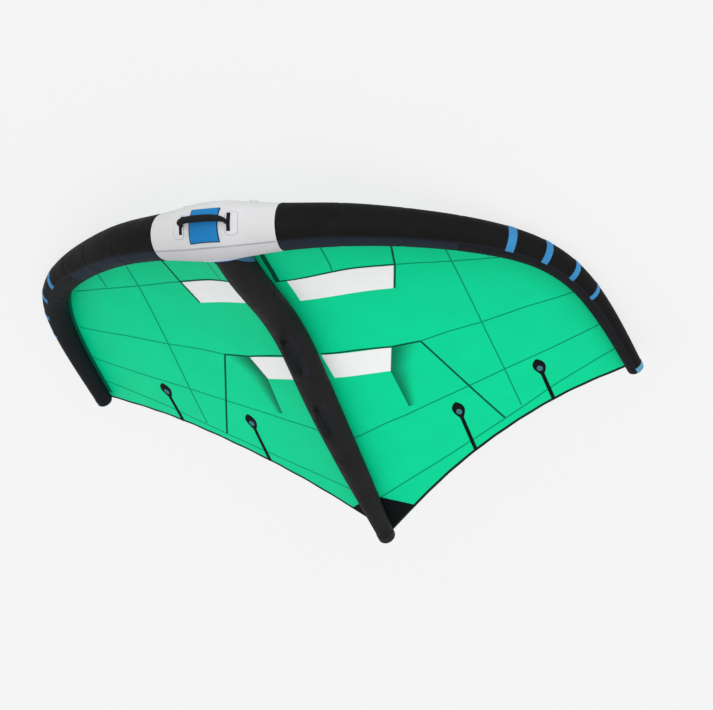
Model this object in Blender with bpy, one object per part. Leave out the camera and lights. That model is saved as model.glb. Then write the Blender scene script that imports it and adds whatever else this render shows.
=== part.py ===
"""Inflatable hand-held wing, lying on its canopy with the strut side up.

Metres. +X is the wing's left half, +Y runs from the leading edge to the trailing edge, +Z is up.
Shapes are worked out from the middle of the leading edge tube, and one empty sets the whole wing on
the ground, centred fore and aft.
"""

import math

import bmesh
import bpy
import numpy as np

# Leading edge tube
half_span = 1.330
tip_sweep = 1.462
tip_drop = 0.212
centre_radius = 0.1252
station_shares = (0, 0.10, 0.22, 0.36, 0.50, 0.62, 0.72, 0.80, 0.88, 1)
span_shares = (0, 0.166, 0.355, 0.557, 0.746, 0.885, 0.954, 0.979, 0.991, 1)
sweep_shares = (0, 0.024, 0.079, 0.180, 0.303, 0.434, 0.573, 0.694, 0.816, 1)
drop_shares = (0, 0.107, 0.348, 0.678, 0.968, 1.140, 1.183, 1.153, 1.100, 1)
radius_shares = (1, 0.837, 0.729, 0.637, 0.562, 0.486, 0.414, 0.367, 0.328, 0.280)
ring_shares = (
    0, 0.030, 0.060, 0.085, 0.119, 0.17, 0.22, 0.27, 0.32, 0.37, 0.435, 0.50, 0.565,
    0.63, 0.70, 0.77, 0.82, 0.87, 0.925, 0.98, 1,
)
tube_sides = 20
attach_angle = math.radians(41)
sleeve_wall = 0.0015
liner_gap = 0.0006
bladder_wall = 0.0004
bladder_sides = 10
tip_cap_depth = 0.012
tip_cap_wall = 0.002

# Places along the leading edge, as shares of its half length
sleeve_joint_shares = (0.119, 0.37, 0.63, 1)
middle_seam_end_share = 0.77
lower_seam_end_share = 0.87
canopy_end_share = 0.98
bladder_end_share = 0.98

# Strut
strut_length = 2.014
strut_middle_radius = 0.0704
strut_height_shares = (0, 0.0046, 0.0009, -0.0079, -0.0027, 0.0193, 0.0427, 0.0631, 0.0824, 0.1013, 0.1202)
strut_radius_shares = (1.13, 1.06, 1.009, 0.989, 1, 0.999, 0.952, 0.866, 0.761, 0.646, 0.54)
strut_start = 0.05
strut_sides = 15
strut_cap_depth = 0.022
strut_bladder_start = 0.16
collar_depth = 0.150
collar_wall = 0.003
collar_open_angle = math.radians(48)

# Canopy
canopy_chord = 2.040
canopy_cloth = 0.0012
window_film = 0.0008
hem_width = 0.012
hem_cloth = 0.0020
trailing_y_shares = (1, 0.8905, 0.8042, 0.7472, 0.7153)
trailing_height = 0.2073
trailing_height_shares = (1, 0.329, -0.232, -0.753, -1.192)
camber = 0.1104
camber_shares = (0.820, 1, 0.831, 0.197, 0)
fullness_shares = (0.694, 0.488, 0.623)
lean_shares = (-0.148, 0.127, 0.055)
keel_blend = 0.38
seam_gap = 0.0003
keel_gap = 0.0006

# Seams and windows on one half: each place is a share of the half span and of the chord
upper_seam_shares = ((0, 0.228), (0.064, 0.240), (0.392, 0.297), (0.573, 0.320))
upper_sill_shares = ((0, 0.310), (0.060, 0.318), (0.357, 0.358))
upper_sill_end_share = 0.384
middle_seam_shares = ((0, 0.475), (0.036, 0.480), (0.263, 0.510), (0.362, 0.514), (0.580, 0.500))
lower_sill_shares = ((0, 0.541), (0.047, 0.547), (0.228, 0.571))
lower_sill_end_share = 0.573
lower_seam_shares = ((0, 0.722), (0.454, 0.662), (0.589, 0.640))
upper_seam_end_share = 0.63
rings_at_upper_seam_shares = (0, 0.030, 0.22, 0.37, upper_seam_end_share)
front_panel_row_count = 3
upper_window_row_count = 2
middle_panel_row_count = 3
lower_window_row_count = 2
rear_inner_panel_row_count = 3
rear_panel_row_count = 4
beside_tube_row_count = 2

# Trailing edge corner patch and battens
corner_patch_reach = 0.150
corner_patch_depth = 0.205
corner_patch_inset = 0.022
patch_cloth = 0.0010
batten_span_shares = (0.390, 0.699)
batten_length = 0.205
batten_width = 0.008
batten_thickness = 0.0016
pocket_width = 0.020
pocket_cloth = 0.0008
pocket_gap = 0.0004
pocket_head_width = 0.056
pocket_head_length = 0.105
pocket_head_points = 12

# Handles
front_handle_share = 0.0405
front_handle_side = 11
front_handle_lean = math.radians(7)
front_handle_reach = 0.066
front_foot_sides = (10.56, 11, 12, 12.5)
front_foot_length = 0.019
strut_handle_ends = ((0.715, 0.925), (1.125, 1.290))
strut_handle_lean = math.radians(-30)
strut_foot_length = 0.034
strut_foot_width = 0.024
foot_thickness = 0.003
strut_handle_reach = 0.052
pivot_height = 0.0145
pivot_radius = 0.003
pivot_clearance = 0.0005
grip_radius = 0.0135
leg_radius = 0.006
arch_power = 2.6
grip_sides = 8
grip_steps = 14
lug_thickness = 0.004
lug_gap = 0.0006
seat_gap = 0.0003

# Knuckle pad
pad_share = 0.027
pad_sides = (9.39, 10, 11, 12, 13, 13.28)
pad_thickness = 0.004

# Valves
valve_share = 0.0725
valve_side = 16
valve_neck_radius = 0.0165
valve_bore_radius = 0.012
valve_flange_radius = 0.0185
valve_flange = 0.003
valve_neck_depth = 0.012
valve_hole_clearance = 0.0005
valve_cap_thickness = 0.004
valve_cap_plug = 0.004
valve_cap_gap = 0.0005
valve_hinge_radius = 0.0025
valve_hinge_length = 0.008
valve_hinge_bore_radius = 0.0015
valve_pin_radius = 0.0011
valve_ear_thickness = 0.0025
valve_sides = 20

# Air hose between the tube and the strut
hose_clearance = 0.0292
hose_tube_side = 2
hose_strut_place = 0.235
hose_strut_side = 2
hose_radius = 0.008
hose_bore_radius = 0.006
fitting_radius = 0.0115
fitting_height = 0.010
hose_pull = 0.030
hose_sides = 8
hose_steps = 14

# Cuts
cut_overrun = 0.004

# Colours
black = (0.012, 0.012, 0.013, 1)
white = (0.80, 0.80, 0.80, 1)
green = (0.005, 0.66, 0.32, 1)
clear = (0.90, 0.92, 0.92, 1)
blue = (0.02, 0.19, 0.55, 1)
light_blue = (0.10, 0.36, 0.66, 1)
charcoal = (0.02, 0.02, 0.022, 1)
amber = (0.75, 0.72, 0.62, 1)
grey = (0.25, 0.25, 0.26, 1)


def clear_scene():
    for obj in list(bpy.data.objects):
        bpy.data.objects.remove(obj, do_unlink=True)


def finish(name, colour, roughness, transmission=0):
    """A plain finish with one colour."""
    material = bpy.data.materials.get(name)
    if material:
        return material
    material = bpy.data.materials.new(name)
    material.use_nodes = True
    shader = material.node_tree.nodes["Principled BSDF"]
    shader.inputs["Base Color"].default_value = colour
    shader.inputs["Roughness"].default_value = roughness
    shader.inputs["Metallic"].default_value = 0
    shader.inputs["Transmission Weight"].default_value = transmission
    return material


def sailcloth_black():
    return finish("black_sailcloth", black, 0.62)


def sailcloth_white():
    return finish("white_sailcloth", white, 0.55)


def ripstop_green():
    return finish("green_ripstop", green, 0.5)


def window_clear():
    return finish("clear_film", clear, 0.08, transmission=1)


def bladder_film():
    return finish("bladder_film", amber, 0.35)


def rubber_black():
    return finish("black_rubber", charcoal, 0.7)


def plastic_black():
    return finish("black_plastic", charcoal, 0.4)


def foam_blue():
    return finish("blue_foam", blue, 0.6)


def webbing_light_blue():
    return finish("light_blue_webbing", light_blue, 0.6)


def batten_grey():
    return finish("batten_grey", grey, 0.4)


# Smooth curves


def spline(knots, values, at):
    """Natural cubic curve through the values, read at the given places."""
    knots = np.asarray(knots, float)
    values = np.asarray(values, float)
    at = np.asarray(at, float)
    gap = np.diff(knots)
    slope = (np.diff(values, axis=0).T / gap).T
    matrix = np.eye(len(knots))
    right = np.zeros_like(values)
    for i in range(1, len(knots) - 1):
        matrix[i, i - 1 : i + 2] = gap[i - 1], 2 * (gap[i - 1] + gap[i]), gap[i]
        right[i] = 6 * (slope[i] - slope[i - 1])
    bend = np.linalg.solve(matrix, right)
    i = np.clip(np.searchsorted(knots, at, side="right") - 1, 0, len(knots) - 2)
    width = gap[i]
    left = (knots[i + 1] - at) / width
    right = (at - knots[i]) / width
    if values.ndim > 1:
        width, left, right = width[..., None], left[..., None], right[..., None]
    curve = (left**3 - left) * bend[i] + (right**3 - right) * bend[i + 1]
    return left * values[i] + right * values[i + 1] + curve * width * width / 6


def both_halves(shares, sign):
    """The shares of one half, with those of the other half before them."""
    shares = np.array(shares, float)
    return np.concatenate([sign * shares[:0:-1], shares])


def tube_line(share):
    """Centre line and radius of the leading edge at shares of its half length."""
    knots = both_halves(station_shares, -1)
    places = np.column_stack(
        [
            both_halves(span_shares, -1) * half_span,
            both_halves(sweep_shares, 1) * tip_sweep,
            -both_halves(drop_shares, 1) * tip_drop,
        ]
    )
    radii = both_halves(radius_shares, 1) * centre_radius
    return spline(knots, places, share), spline(knots, radii, share)


def share_of(length):
    """The share of the leading edge's half length that a length along it takes."""
    line, _ = tube_line(np.linspace(0, 1, 200))
    return length / np.linalg.norm(np.diff(line, axis=0), axis=1).sum()


def tube_frame(share):
    """Centre, radius and the level and upright directions square to the tube."""
    share = np.atleast_1d(np.asarray(share, float))
    step = 1e-4
    centre, radius = tube_line(share)
    ahead, _ = tube_line(np.clip(share + step, -1, 1))
    behind, _ = tube_line(np.clip(share - step, -1, 1))
    along = ahead - behind
    along /= np.linalg.norm(along, axis=1, keepdims=True)
    aft = np.cross([0, 0, 1], along)
    aft /= np.linalg.norm(aft, axis=1, keepdims=True)
    return centre, radius, aft, np.cross(along, aft)


def tube_rings(shares, sides, offset):
    """Rings round the leading edge. The first point of each is on the line where the canopy is sewn."""
    centre, radius, aft, up = tube_frame(shares)
    angle = attach_angle + np.arange(sides) * math.tau / sides
    out = np.sin(angle)[None, :, None] * aft[:, None] - np.cos(angle)[None, :, None] * up[:, None]
    return centre[:, None] + (radius + offset)[:, None, None] * out


def chord_rings(shares, sides, offset):
    """Rings on the straight chords between the ring places, so that they follow the faceted tube."""
    places = both_halves(ring_shares, -1)
    rings = tube_rings(places, sides, offset)
    flat = rings.reshape(len(places), -1)
    read = np.column_stack([np.interp(shares, places, column) for column in flat.T])
    return read.reshape(len(shares), sides, 3)


def strut_line(y):
    """Height of the strut's centre line and its radius at a distance aft."""
    knots = np.linspace(0, canopy_chord, len(strut_height_shares))
    height = spline(knots, np.array(strut_height_shares) * canopy_chord, y)
    return height, spline(knots, np.array(strut_radius_shares) * strut_middle_radius, y)


def strut_rings(places, sides, offset):
    """Upright rings of the strut. The first point of each is on its keel, at the bottom."""
    places = np.asarray(places, float)
    height, radius = strut_line(places)
    angle = np.arange(sides) * math.tau / sides
    grow = (radius + offset)[:, None]
    x = grow * np.sin(angle)[None]
    z = height[:, None] - grow * np.cos(angle)[None]
    return np.stack([x, np.repeat(places[:, None], sides, axis=1), z], axis=-1)


# Canopy surface


def seam_edge(shares):
    """Places on the sewn line of the leading edge, a seam gap clear of the tube."""
    return chord_rings(np.atleast_1d(shares), tube_sides, seam_gap)[:, 0]


def front_edge(x):
    """Distance aft and height of the sewn line, at a distance from the middle."""
    line = seam_edge(np.array(ring_shares))
    return np.interp(x, line[:, 0], line[:, 1]), np.interp(x, line[:, 0], line[:, 2])


def trailing_edge(x):
    """Distance aft and height of the trailing edge, at a distance from the middle."""
    knots = np.linspace(0, half_span, len(trailing_y_shares))
    back = spline(knots, np.array(trailing_y_shares) * canopy_chord, x)
    return back, spline(knots, np.array(trailing_height_shares) * trailing_height, x)


def canopy_height(x, y):
    """Height of the canopy's strut side.

    Each fore and aft section is a straight line from the leading edge to the trailing edge, less a
    belly of camber times the sine of a bent share of the chord. Towards the middle the section
    turns into the underside of the strut.
    """
    x = np.abs(x)
    front, front_height = front_edge(x)
    back, back_height = trailing_edge(x)
    share = np.clip((y - front) / (back - front), 0, 1)
    depth = spline(np.linspace(0, half_span, len(camber_shares)), np.array(camber_shares) * camber, x)
    full = spline(np.linspace(0, half_span, len(fullness_shares)), fullness_shares, x)
    lean = spline(np.linspace(0, half_span, len(lean_shares)), lean_shares, x)
    belly = depth * np.sin(math.pi * share**full) * (1 - lean * share)
    middle_front, middle_front_height = front_edge(0)
    middle_back, middle_back_height = trailing_edge(0)
    along = middle_front * (1 - share) + middle_back * share
    strut_height, strut_radius = strut_line(along)
    under = strut_height - strut_radius - keel_gap
    keel = under - middle_front_height * (1 - share) - middle_back_height * share
    blend = np.clip(x / keel_blend, 0, 1)
    blend = blend * blend * (3 - 2 * blend)
    chord = front_height * (1 - share) + back_height * share
    return chord + (1 - blend) * keel - blend * belly


# Mesh building


def add_object(name, points, faces, material, origin=(0, 0, 0), outward=True):
    """A mesh object whose origin is at the given place of the wing."""
    mesh = bpy.data.meshes.new(name)
    points = np.asarray(points, float).reshape(-1, 3) - np.asarray(origin, float)
    mesh.from_pydata(points.tolist(), [], faces)
    solid = bmesh.new()
    solid.from_mesh(mesh)
    bmesh.ops.remove_doubles(solid, verts=solid.verts, dist=seam_gap / 30)
    if outward:
        bmesh.ops.recalc_face_normals(solid, faces=solid.faces)
    solid.to_mesh(mesh)
    solid.free()
    mesh.materials.append(material)
    mesh.shade_smooth()
    mesh.set_sharp_from_angle(angle=math.radians(35))
    obj = bpy.data.objects.new(name, mesh)
    bpy.context.scene.collection.objects.link(obj)
    obj.location = origin
    obj.parent = ground
    return obj


def hide_cutter(obj):
    obj.hide_render = True
    obj.display_type = "WIRE"
    return obj


def combine(obj, other, operation):
    """Adds a Boolean of the other object to the first."""
    modifier = obj.modifiers.new(other.name, "BOOLEAN")
    modifier.operation = operation
    modifier.object = hide_cutter(other)
    modifier.solver = "EXACT"


def band_faces(rows, sides, start=0, closed=True):
    """Triangles between rings of points numbered row after row. The second half mirrors the first."""
    turns = sides if closed else sides - 1
    faces = []
    for i in range(rows - 1):
        for k in range(turns):
            a = start + i * sides + k
            b = start + i * sides + (k + 1) % sides
            if 2 * i < rows - 1:
                faces += [(a, b, b + sides), (a, b + sides, a + sides)]
            else:
                faces += [(a, b, a + sides), (b, b + sides, a + sides)]
    return faces


def flipped(faces):
    return [tuple(reversed(face)) for face in faces]


def open_shell(outer, inner):
    """Points and faces of a tube with a wall, open at both ends."""
    rows, sides = outer.shape[:2]
    count = rows * sides
    faces = band_faces(rows, sides) + flipped(band_faces(rows, sides, start=count))
    for row in (0, rows - 1):
        for k in range(sides):
            a = row * sides + k
            b = row * sides + (k + 1) % sides
            faces.append((a, b, b + count, a + count))
    return np.concatenate([outer.reshape(-1, 3), inner.reshape(-1, 3)]), faces


def strip_shell(outer, inner):
    """Points and faces of a layer that goes part of the way round a tube."""
    rows, sides = outer.shape[:2]
    count = rows * sides
    faces = band_faces(rows, sides, closed=False)
    faces += flipped(band_faces(rows, sides, start=count, closed=False))
    for row in (0, rows - 1):
        for k in range(sides - 1):
            a = row * sides + k
            faces.append((a, a + 1, a + 1 + count, a + count))
    for side in (0, sides - 1):
        for i in range(rows - 1):
            a = i * sides + side
            faces.append((a, a + sides, a + sides + count, a + count))
    return np.concatenate([outer.reshape(-1, 3), inner.reshape(-1, 3)]), faces


def closed_tube(rings):
    """Points and faces of a solid tube with flat ends, facing out for rings that run towards +X or +Y."""
    rows, sides = rings.shape[:2]
    faces = band_faces(rows, sides)
    faces.append(tuple(reversed(range(sides))))
    faces.append(tuple(range((rows - 1) * sides, rows * sides)))
    return rings.reshape(-1, 3), faces


def add_bladder(name, outer, inner, cutters, material):
    """A closed bag with a wall, opened by its valve and hose holes."""
    bag = add_object(name, *closed_tube(outer), material)
    hollow = add_object(name + "_air", *closed_tube(inner), material)
    combine(bag, hollow, "DIFFERENCE")
    for cutter in cutters:
        combine(bag, cutter, "DIFFERENCE")
    return bag


def sheet_mesh(grids, keep, lower, upper):
    """Points and faces of a sheet over grids of places that share rails.

    Each grid is (rows, columns, 3). A cell stays where keep(grid, row, column) says so. The sheet
    lies from lower to upper above the places.
    """
    points, index, faces = [], {}, []

    def number(place):
        key = tuple(np.round(place / (seam_gap / 30)).astype(int))
        if key not in index:
            index[key] = len(points)
            points.append(place)
        return index[key]

    for g, grid in enumerate(grids):
        for i in range(grid.shape[0] - 1):
            for j in range(grid.shape[1] - 1):
                if not keep(g, i, j):
                    continue
                cell = [number(grid[a, b]) for a, b in ((i, j), (i, j + 1), (i + 1, j + 1), (i + 1, j))]
                for corners in ((cell[0], cell[1], cell[2]), (cell[0], cell[2], cell[3])):
                    if len(set(corners)) == 3:
                        faces.append(corners)
    count = len(points)
    places = np.array(points)
    normal = np.cross(places[faces[0][1]] - places[faces[0][0]], places[faces[0][2]] - places[faces[0][0]])
    if normal[2] < 0:
        faces = flipped(faces)
    edges = {}
    for face in faces:
        for a, b in zip(face, face[1:] + face[:1]):
            edges[(a, b)] = edges.get((a, b), 0) + 1
    rim = [(a, b) for a, b in edges if (b, a) not in edges]
    solid = list(faces) + [tuple(c + count for c in reversed(face)) for face in faces]
    solid += [(b, a, a + count, b + count) for a, b in rim]
    up = np.array([0, 0, 1.0])
    return np.concatenate([places + upper * up, places + lower * up]), solid


def add_sheet(name, grids, material, keep=None, lower=-canopy_cloth, upper=0):
    points, faces = sheet_mesh(grids, keep or (lambda g, i, j: True), lower, upper)
    return add_object(name, points, faces, material)


def prism(name, outline, low, high, material):
    """An upright prism over an outline of plan places."""
    count = len(outline)
    outline = np.asarray(outline, float)
    ends = [np.column_stack([outline, np.full(count, z)]) for z in (low, high)]
    faces = [tuple(range(count)), tuple(range(count, 2 * count))]
    faces += [(k, (k + 1) % count, (k + 1) % count + count, k + count) for k in range(count)]
    return add_object(name, np.concatenate(ends), faces, material)


# Places on the facets of the tubes


def part_way_round(rings, places):
    """The rings at places counted in facets, on the straight lines between their points."""
    sides = rings.shape[1]
    low = np.floor(places).astype(int)
    share = (np.asarray(places) - low)[None, :, None]
    return rings[:, low % sides] * (1 - share) + rings[:, (low + 1) % sides] * share


def facet_frame(rings, row, side, share):
    """A place on the middle line of a facet, and directions along the tube, across and outward."""
    sides = rings.shape[1]
    first = (rings[row, side % sides] + rings[row, (side + 1) % sides]) / 2
    last = (rings[row + 1, side % sides] + rings[row + 1, (side + 1) % sides]) / 2
    along = (last - first) / np.linalg.norm(last - first)
    edges = rings[row : row + 2, (side + 1) % sides] - rings[row : row + 2, side % sides]
    across = edges.sum(axis=0)
    across -= along * (across @ along)
    across /= np.linalg.norm(across)
    out = np.cross(across, along)
    out *= np.sign(out @ (first - rings[row].mean(axis=0)))
    return first * (1 - share) + last * share, along, across, out


def tube_facet(place, side):
    """Frame on a facet of the leading edge at a share of its half length."""
    places = both_halves(ring_shares, -1)
    row = np.searchsorted(places, place) - 1
    share = (place - places[row]) / (places[row + 1] - places[row])
    return facet_frame(tube_rings(places, tube_sides, 0), row, side, share)


def strut_facet(place, side):
    """Frame on a facet of the strut at a distance aft."""
    places = strut_body_places(strut_start, strut_length)
    row = np.searchsorted(places, place) - 1
    share = (place - places[row]) / (places[row + 1] - places[row])
    return facet_frame(chord_strut_rings(places, 0), row, side, share)


def cylinder(start, axis, side, length, radius, sides, radius_end=None):
    """Points and faces of a straight round piece."""
    axis = np.asarray(axis, float)
    side = np.asarray(side, float)
    other = np.cross(axis, side)
    angle = (np.arange(sides) + 0.5) * math.tau / sides
    ring = np.cos(angle)[:, None] * side + np.sin(angle)[:, None] * other
    radius_end = radius if radius_end is None else radius_end
    rings = np.stack([start + radius * ring, start + axis * length + radius_end * ring])
    return closed_tube(rings)


def stepped_cylinder(start, axis, side, steps, sides):
    """A turned piece: each step is a height along the axis and a radius there."""
    axis = np.asarray(axis, float)
    side = np.asarray(side, float)
    other = np.cross(axis, side)
    angle = (np.arange(sides) + 0.5) * math.tau / sides
    ring = np.cos(angle)[:, None] * side + np.sin(angle)[:, None] * other
    rings = np.stack([start + axis * height + radius * ring for height, radius in steps])
    return closed_tube(rings)


def box_mesh(centre, axes, sizes):
    """Points and faces of a block with its edges along three directions."""
    corners = np.array([[i, j, k] for i in (-1, 1) for j in (-1, 1) for k in (-1, 1)], float) / 2
    points = centre + (corners * np.asarray(sizes)) @ np.asarray(axes)
    faces = [(0, 1, 3, 2), (4, 6, 7, 5), (0, 4, 5, 1), (2, 3, 7, 6), (0, 2, 6, 4), (1, 5, 7, 3)]
    return points, faces


def path_tube(path, radii, sides, side):
    """A round bar along a path that lies in the plane square to the side direction."""
    path = np.asarray(path, float)
    along = np.gradient(path, axis=0)
    along /= np.linalg.norm(along, axis=1, keepdims=True)
    side = np.asarray(side, float)
    other = np.cross(along, side)
    other /= np.linalg.norm(other, axis=1, keepdims=True)
    angle = (np.arange(sides) + 0.5) * math.tau / sides
    ring = np.cos(angle)[None, :, None] * side + np.sin(angle)[None, :, None] * other[:, None]
    return closed_tube(path[:, None] + np.asarray(radii)[:, None, None] * ring)


# Leading edge


def sleeve_places(first, last):
    """Ring places from first to last, with the ends drawn in by half a seam gap."""
    places = both_halves(ring_shares, -1)
    inside = places[(places > first + 1e-6) & (places < last - 1e-6)]
    drawn = share_of(seam_gap)
    return np.concatenate([[first + drawn], inside, [last - drawn]])


def sleeve_rings(first, last, offset, sides=tube_sides):
    return chord_rings(sleeve_places(first, last), sides, offset)


def add_sleeve(name, first, last, material):
    return add_object(
        name,
        *open_shell(sleeve_rings(first, last, 0), sleeve_rings(first, last, -sleeve_wall)),
        material,
    )


def add_tip_cap(name, side):
    """Shallow cup sewn over the open end of the tube."""
    centre, radius, aft, up = tube_frame(side)
    rings = tube_rings(np.array([side]), tube_sides, 0)[0]
    along = np.cross(aft[0], up[0]) * side
    rim = rings + along * seam_gap
    bulge = [0, 0.5, 1]
    layers = []
    for share in bulge:
        shrink = 1 - 0.35 * share**2
        layers.append(centre[0] + (rim - centre[0]) * shrink + along * tip_cap_depth * share)
    return add_object(name, *closed_tube(np.stack(layers)), webbing_light_blue())


def leading_edge_bladder(cutters):
    start = sleeve_wall + liner_gap
    rings = [
        sleeve_rings(-bladder_end_share, bladder_end_share, -depth, tube_sides)[:, :: tube_sides // bladder_sides]
        for depth in (start, start + bladder_wall)
    ]
    inner = rings[1].copy()
    for end, towards in ((0, 1), (-1, -2)):
        pull = rings[1][towards].mean(axis=0) - rings[1][end].mean(axis=0)
        inner[end] += pull / np.linalg.norm(pull) * bladder_wall
    return add_bladder("leading_edge_bladder", rings[0], inner, cutters, bladder_film())


# Strut


def strut_places():
    """Ring places of the strut: the rows of the canopy where they cross its middle."""
    rails = [front_edge(0)[0]]
    rows = (
        front_panel_row_count,
        upper_window_row_count,
        middle_panel_row_count,
        lower_window_row_count,
        rear_inner_panel_row_count,
        rear_panel_row_count,
    )
    seams = (upper_seam_shares, upper_sill_shares, middle_seam_shares, lower_sill_shares, lower_seam_shares)
    rails += [seam[0][1] * canopy_chord for seam in seams] + [trailing_edge(0)[0] - hem_width]
    places = [rails[0]]
    for start, end, count in zip(rails, rails[1:], rows):
        places += list(np.linspace(start, end, count + 1)[1:])
    return np.array(places)


def strut_body_places(start, end):
    places = strut_places()
    inside = places[(places > start + seam_gap) & (places < end - seam_gap)]
    return np.concatenate([[start], inside, [end]])


def tube_cutter(name, offset):
    """The middle of the leading edge, grown by a gap, which cuts what is sewn on to it."""
    shares = both_halves(ring_shares[:5], -1)
    return add_object(name, *closed_tube(tube_rings(shares, tube_sides, offset)), sailcloth_white())


def chord_strut_rings(places, offset):
    """Rings on the straight chords between the strut's ring places."""
    stations = strut_body_places(strut_start, strut_length)
    rings = strut_rings(stations, strut_sides, offset)
    flat = rings.reshape(len(stations), -1)
    read = np.column_stack([np.interp(places, stations, column) for column in flat.T])
    return read.reshape(len(places), strut_sides, 3)


def strut_sleeve():
    places = strut_body_places(strut_start, strut_length)
    shell = open_shell(chord_strut_rings(places, 0), chord_strut_rings(places, -sleeve_wall))
    sleeve = add_object("strut_sleeve", *shell, sailcloth_black())
    combine(sleeve, tube_cutter("cut_strut_at_tube", seam_gap), "DIFFERENCE")
    return sleeve


def strut_tail_cap():
    """Domed end of the strut."""
    height, radius = strut_line(np.array([strut_length]))
    rim = strut_rings([strut_length], strut_sides, 0)[0] + np.array([0, seam_gap, 0])
    middle = np.array([0, strut_length + seam_gap, height[0]])
    layers = []
    for share in (0, 0.5, 0.85, 1):
        shrink = math.sqrt(1 - (0.9 * share) ** 2)
        layers.append(middle + (rim - middle) * shrink + np.array([0, strut_cap_depth * share, 0]))
    return add_object("strut_tail_cap", *closed_tube(np.stack(layers)), rubber_black())


def strut_bladder(cutters):
    start = sleeve_wall + liner_gap
    end = strut_length - strut_cap_depth
    places = strut_body_places(strut_bladder_start, end)
    outer = chord_strut_rings(places, -start)
    inner = chord_strut_rings(places, -start - bladder_wall)
    inner[0] += (inner[1] - inner[0]) * bladder_wall / (places[1] - places[0])
    inner[-1] += (inner[-2] - inner[-1]) * bladder_wall / (places[-1] - places[-2])
    return add_bladder("strut_bladder", outer, inner, cutters, bladder_film())


def strut_collar():
    """Band of webbing sewn round the root of the strut, open underneath."""
    places = strut_body_places(strut_start, collar_depth)
    inner = chord_strut_rings(places, seam_gap)
    outer = chord_strut_rings(places, seam_gap + collar_wall)
    side_angle = math.tau / strut_sides
    first = math.ceil(collar_open_angle / side_angle)
    kept = slice(first, strut_sides - first + 1)
    shell = strip_shell(outer[:, kept], inner[:, kept])
    collar = add_object("strut_collar", *shell, webbing_light_blue())
    combine(collar, tube_cutter("cut_collar_at_tube", seam_gap), "DIFFERENCE")
    return collar


# Canopy panels


def plan_places(shares):
    return np.array(shares) * np.array([half_span, canopy_chord])


def rail(places, columns):
    """Plan places along straight stretches, with a count of columns on each stretch."""
    places = np.asarray(places, float)
    points = [places[0]]
    for start, end, count in zip(places, places[1:], columns):
        points += list(start + (end - start) * np.linspace(0, 1, count + 1)[1:, None])
    return np.array(points)


def lifted(plan, side):
    """Places of the canopy over plan places of one half; side is 1 on the left and -1 on the right."""
    height = canopy_height(plan[..., 0], plan[..., 1])
    return np.stack([side * plan[..., 0], plan[..., 1], height], axis=-1)


def between(front, back, rows, side, edge=None):
    """A grid of places between two rails. The edge, where given, replaces the last column."""
    share = np.linspace(0, 1, rows + 1)[:, None, None]
    grid = lifted(front[None] * (1 - share) + back[None] * share, side)
    if edge is not None:
        grid[:, -1] = edge * np.array([side, 1, 1])
    return grid


def edge_between(first, last, rows, gap_front=0, gap_back=0):
    """Places on the tube's sewn line between two shares, as many rows as asked for on each ring stretch."""
    rings = [share for share in ring_shares if first - 1e-6 <= share <= last + 1e-6]
    shares = [rings[0]]
    for start, end in zip(rings, rings[1:]):
        shares += list(np.linspace(start, end, rows + 1)[1:])
    shares = np.array(shares)
    shares[0] += share_of(gap_front)
    shares[-1] -= share_of(gap_back)
    return seam_edge(shares)


def ruled(front, back, edge, side):
    """A grid from one rail to the next whose rows also follow the tube at the last column."""
    rows = len(edge) - 1
    return between(front, back, rows, side, edge)


half_gap = seam_gap / 2


def seam_rail(shares, columns, shift_y):
    """A seam as a rail, moved aft or forward, starting half a gap clear of the middle."""
    line = rail(plan_places(shares), columns)
    line[:, 1] += shift_y
    line[0, 0] += half_gap
    return line


def outer_end(share):
    """Plan place where a seam ends on the tube."""
    return seam_edge(share)[0, :2]


def front_panel(side, word):
    """Panel between the leading edge and the upper seam. Its columns stand at the tube's rings."""
    shares = [share for share in ring_shares if share < upper_seam_end_share - 1e-6]
    drawn = share_of(seam_gap)
    shares = np.array([drawn / 2] + shares[1:] + [upper_seam_end_share - 10 * drawn])
    edge = seam_edge(shares)
    seam = np.concatenate([plan_places(upper_seam_shares), [outer_end(upper_seam_end_share)]])
    back_x = np.interp(shares, rings_at_upper_seam_shares, seam[:, 0])
    back = np.column_stack([back_x, np.interp(back_x, seam[:, 0], seam[:, 1]) - half_gap])
    back[-1] = edge[-1, :2]
    grid = between(edge[:, :2], back, front_panel_row_count, side)
    grid[0] = edge * np.array([side, 1, 1])
    grid[:, -1] = edge[-1] * np.array([side, 1, 1])
    return add_sheet(f"canopy_front_panel_{word}", [grid], ripstop_green())


columns_to_window = 1
columns_of_upper_window = 5
columns_past_upper_window = 3
columns_of_lower_window = 3
columns_to_kink = 2
columns_to_tube = (3, 6)


def crossing(first, last, chord_share):
    """Where the straight seam between two places reaches a share of the chord."""
    share = (chord_share - first[1]) / (last[1] - first[1])
    return first[0] + (last[0] - first[0]) * share, chord_share


def in_upper_window(band, column):
    return band == 0 and columns_to_window <= column < columns_to_window + columns_of_upper_window


def in_lower_window(band, column):
    return band == 0 and columns_to_window <= column < columns_to_window + columns_of_lower_window


def middle_grids(side):
    columns = (columns_to_window, columns_of_upper_window, columns_past_upper_window)
    back_columns = (columns_to_window, columns_of_lower_window, columns_to_kink, columns_past_upper_window)
    sill_end = crossing(upper_seam_shares[-1], middle_seam_shares[-1], upper_sill_end_share)
    front = seam_rail(upper_seam_shares, columns, half_gap)
    sill = seam_rail(upper_sill_shares + (sill_end,), columns, 0)
    back = seam_rail(middle_seam_shares, back_columns, -half_gap)
    for line in (front, sill, back):
        line[-1, 0] -= half_gap
    return [
        between(front, sill, upper_window_row_count, side),
        between(sill, back, middle_panel_row_count, side),
    ]


def middle_panel(side, word):
    """Panel behind the upper seam, with the upper window let into its front."""
    return add_sheet(
        f"canopy_middle_panel_{word}",
        middle_grids(side),
        ripstop_green(),
        keep=lambda g, i, j: not in_upper_window(g, j),
    )


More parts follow.
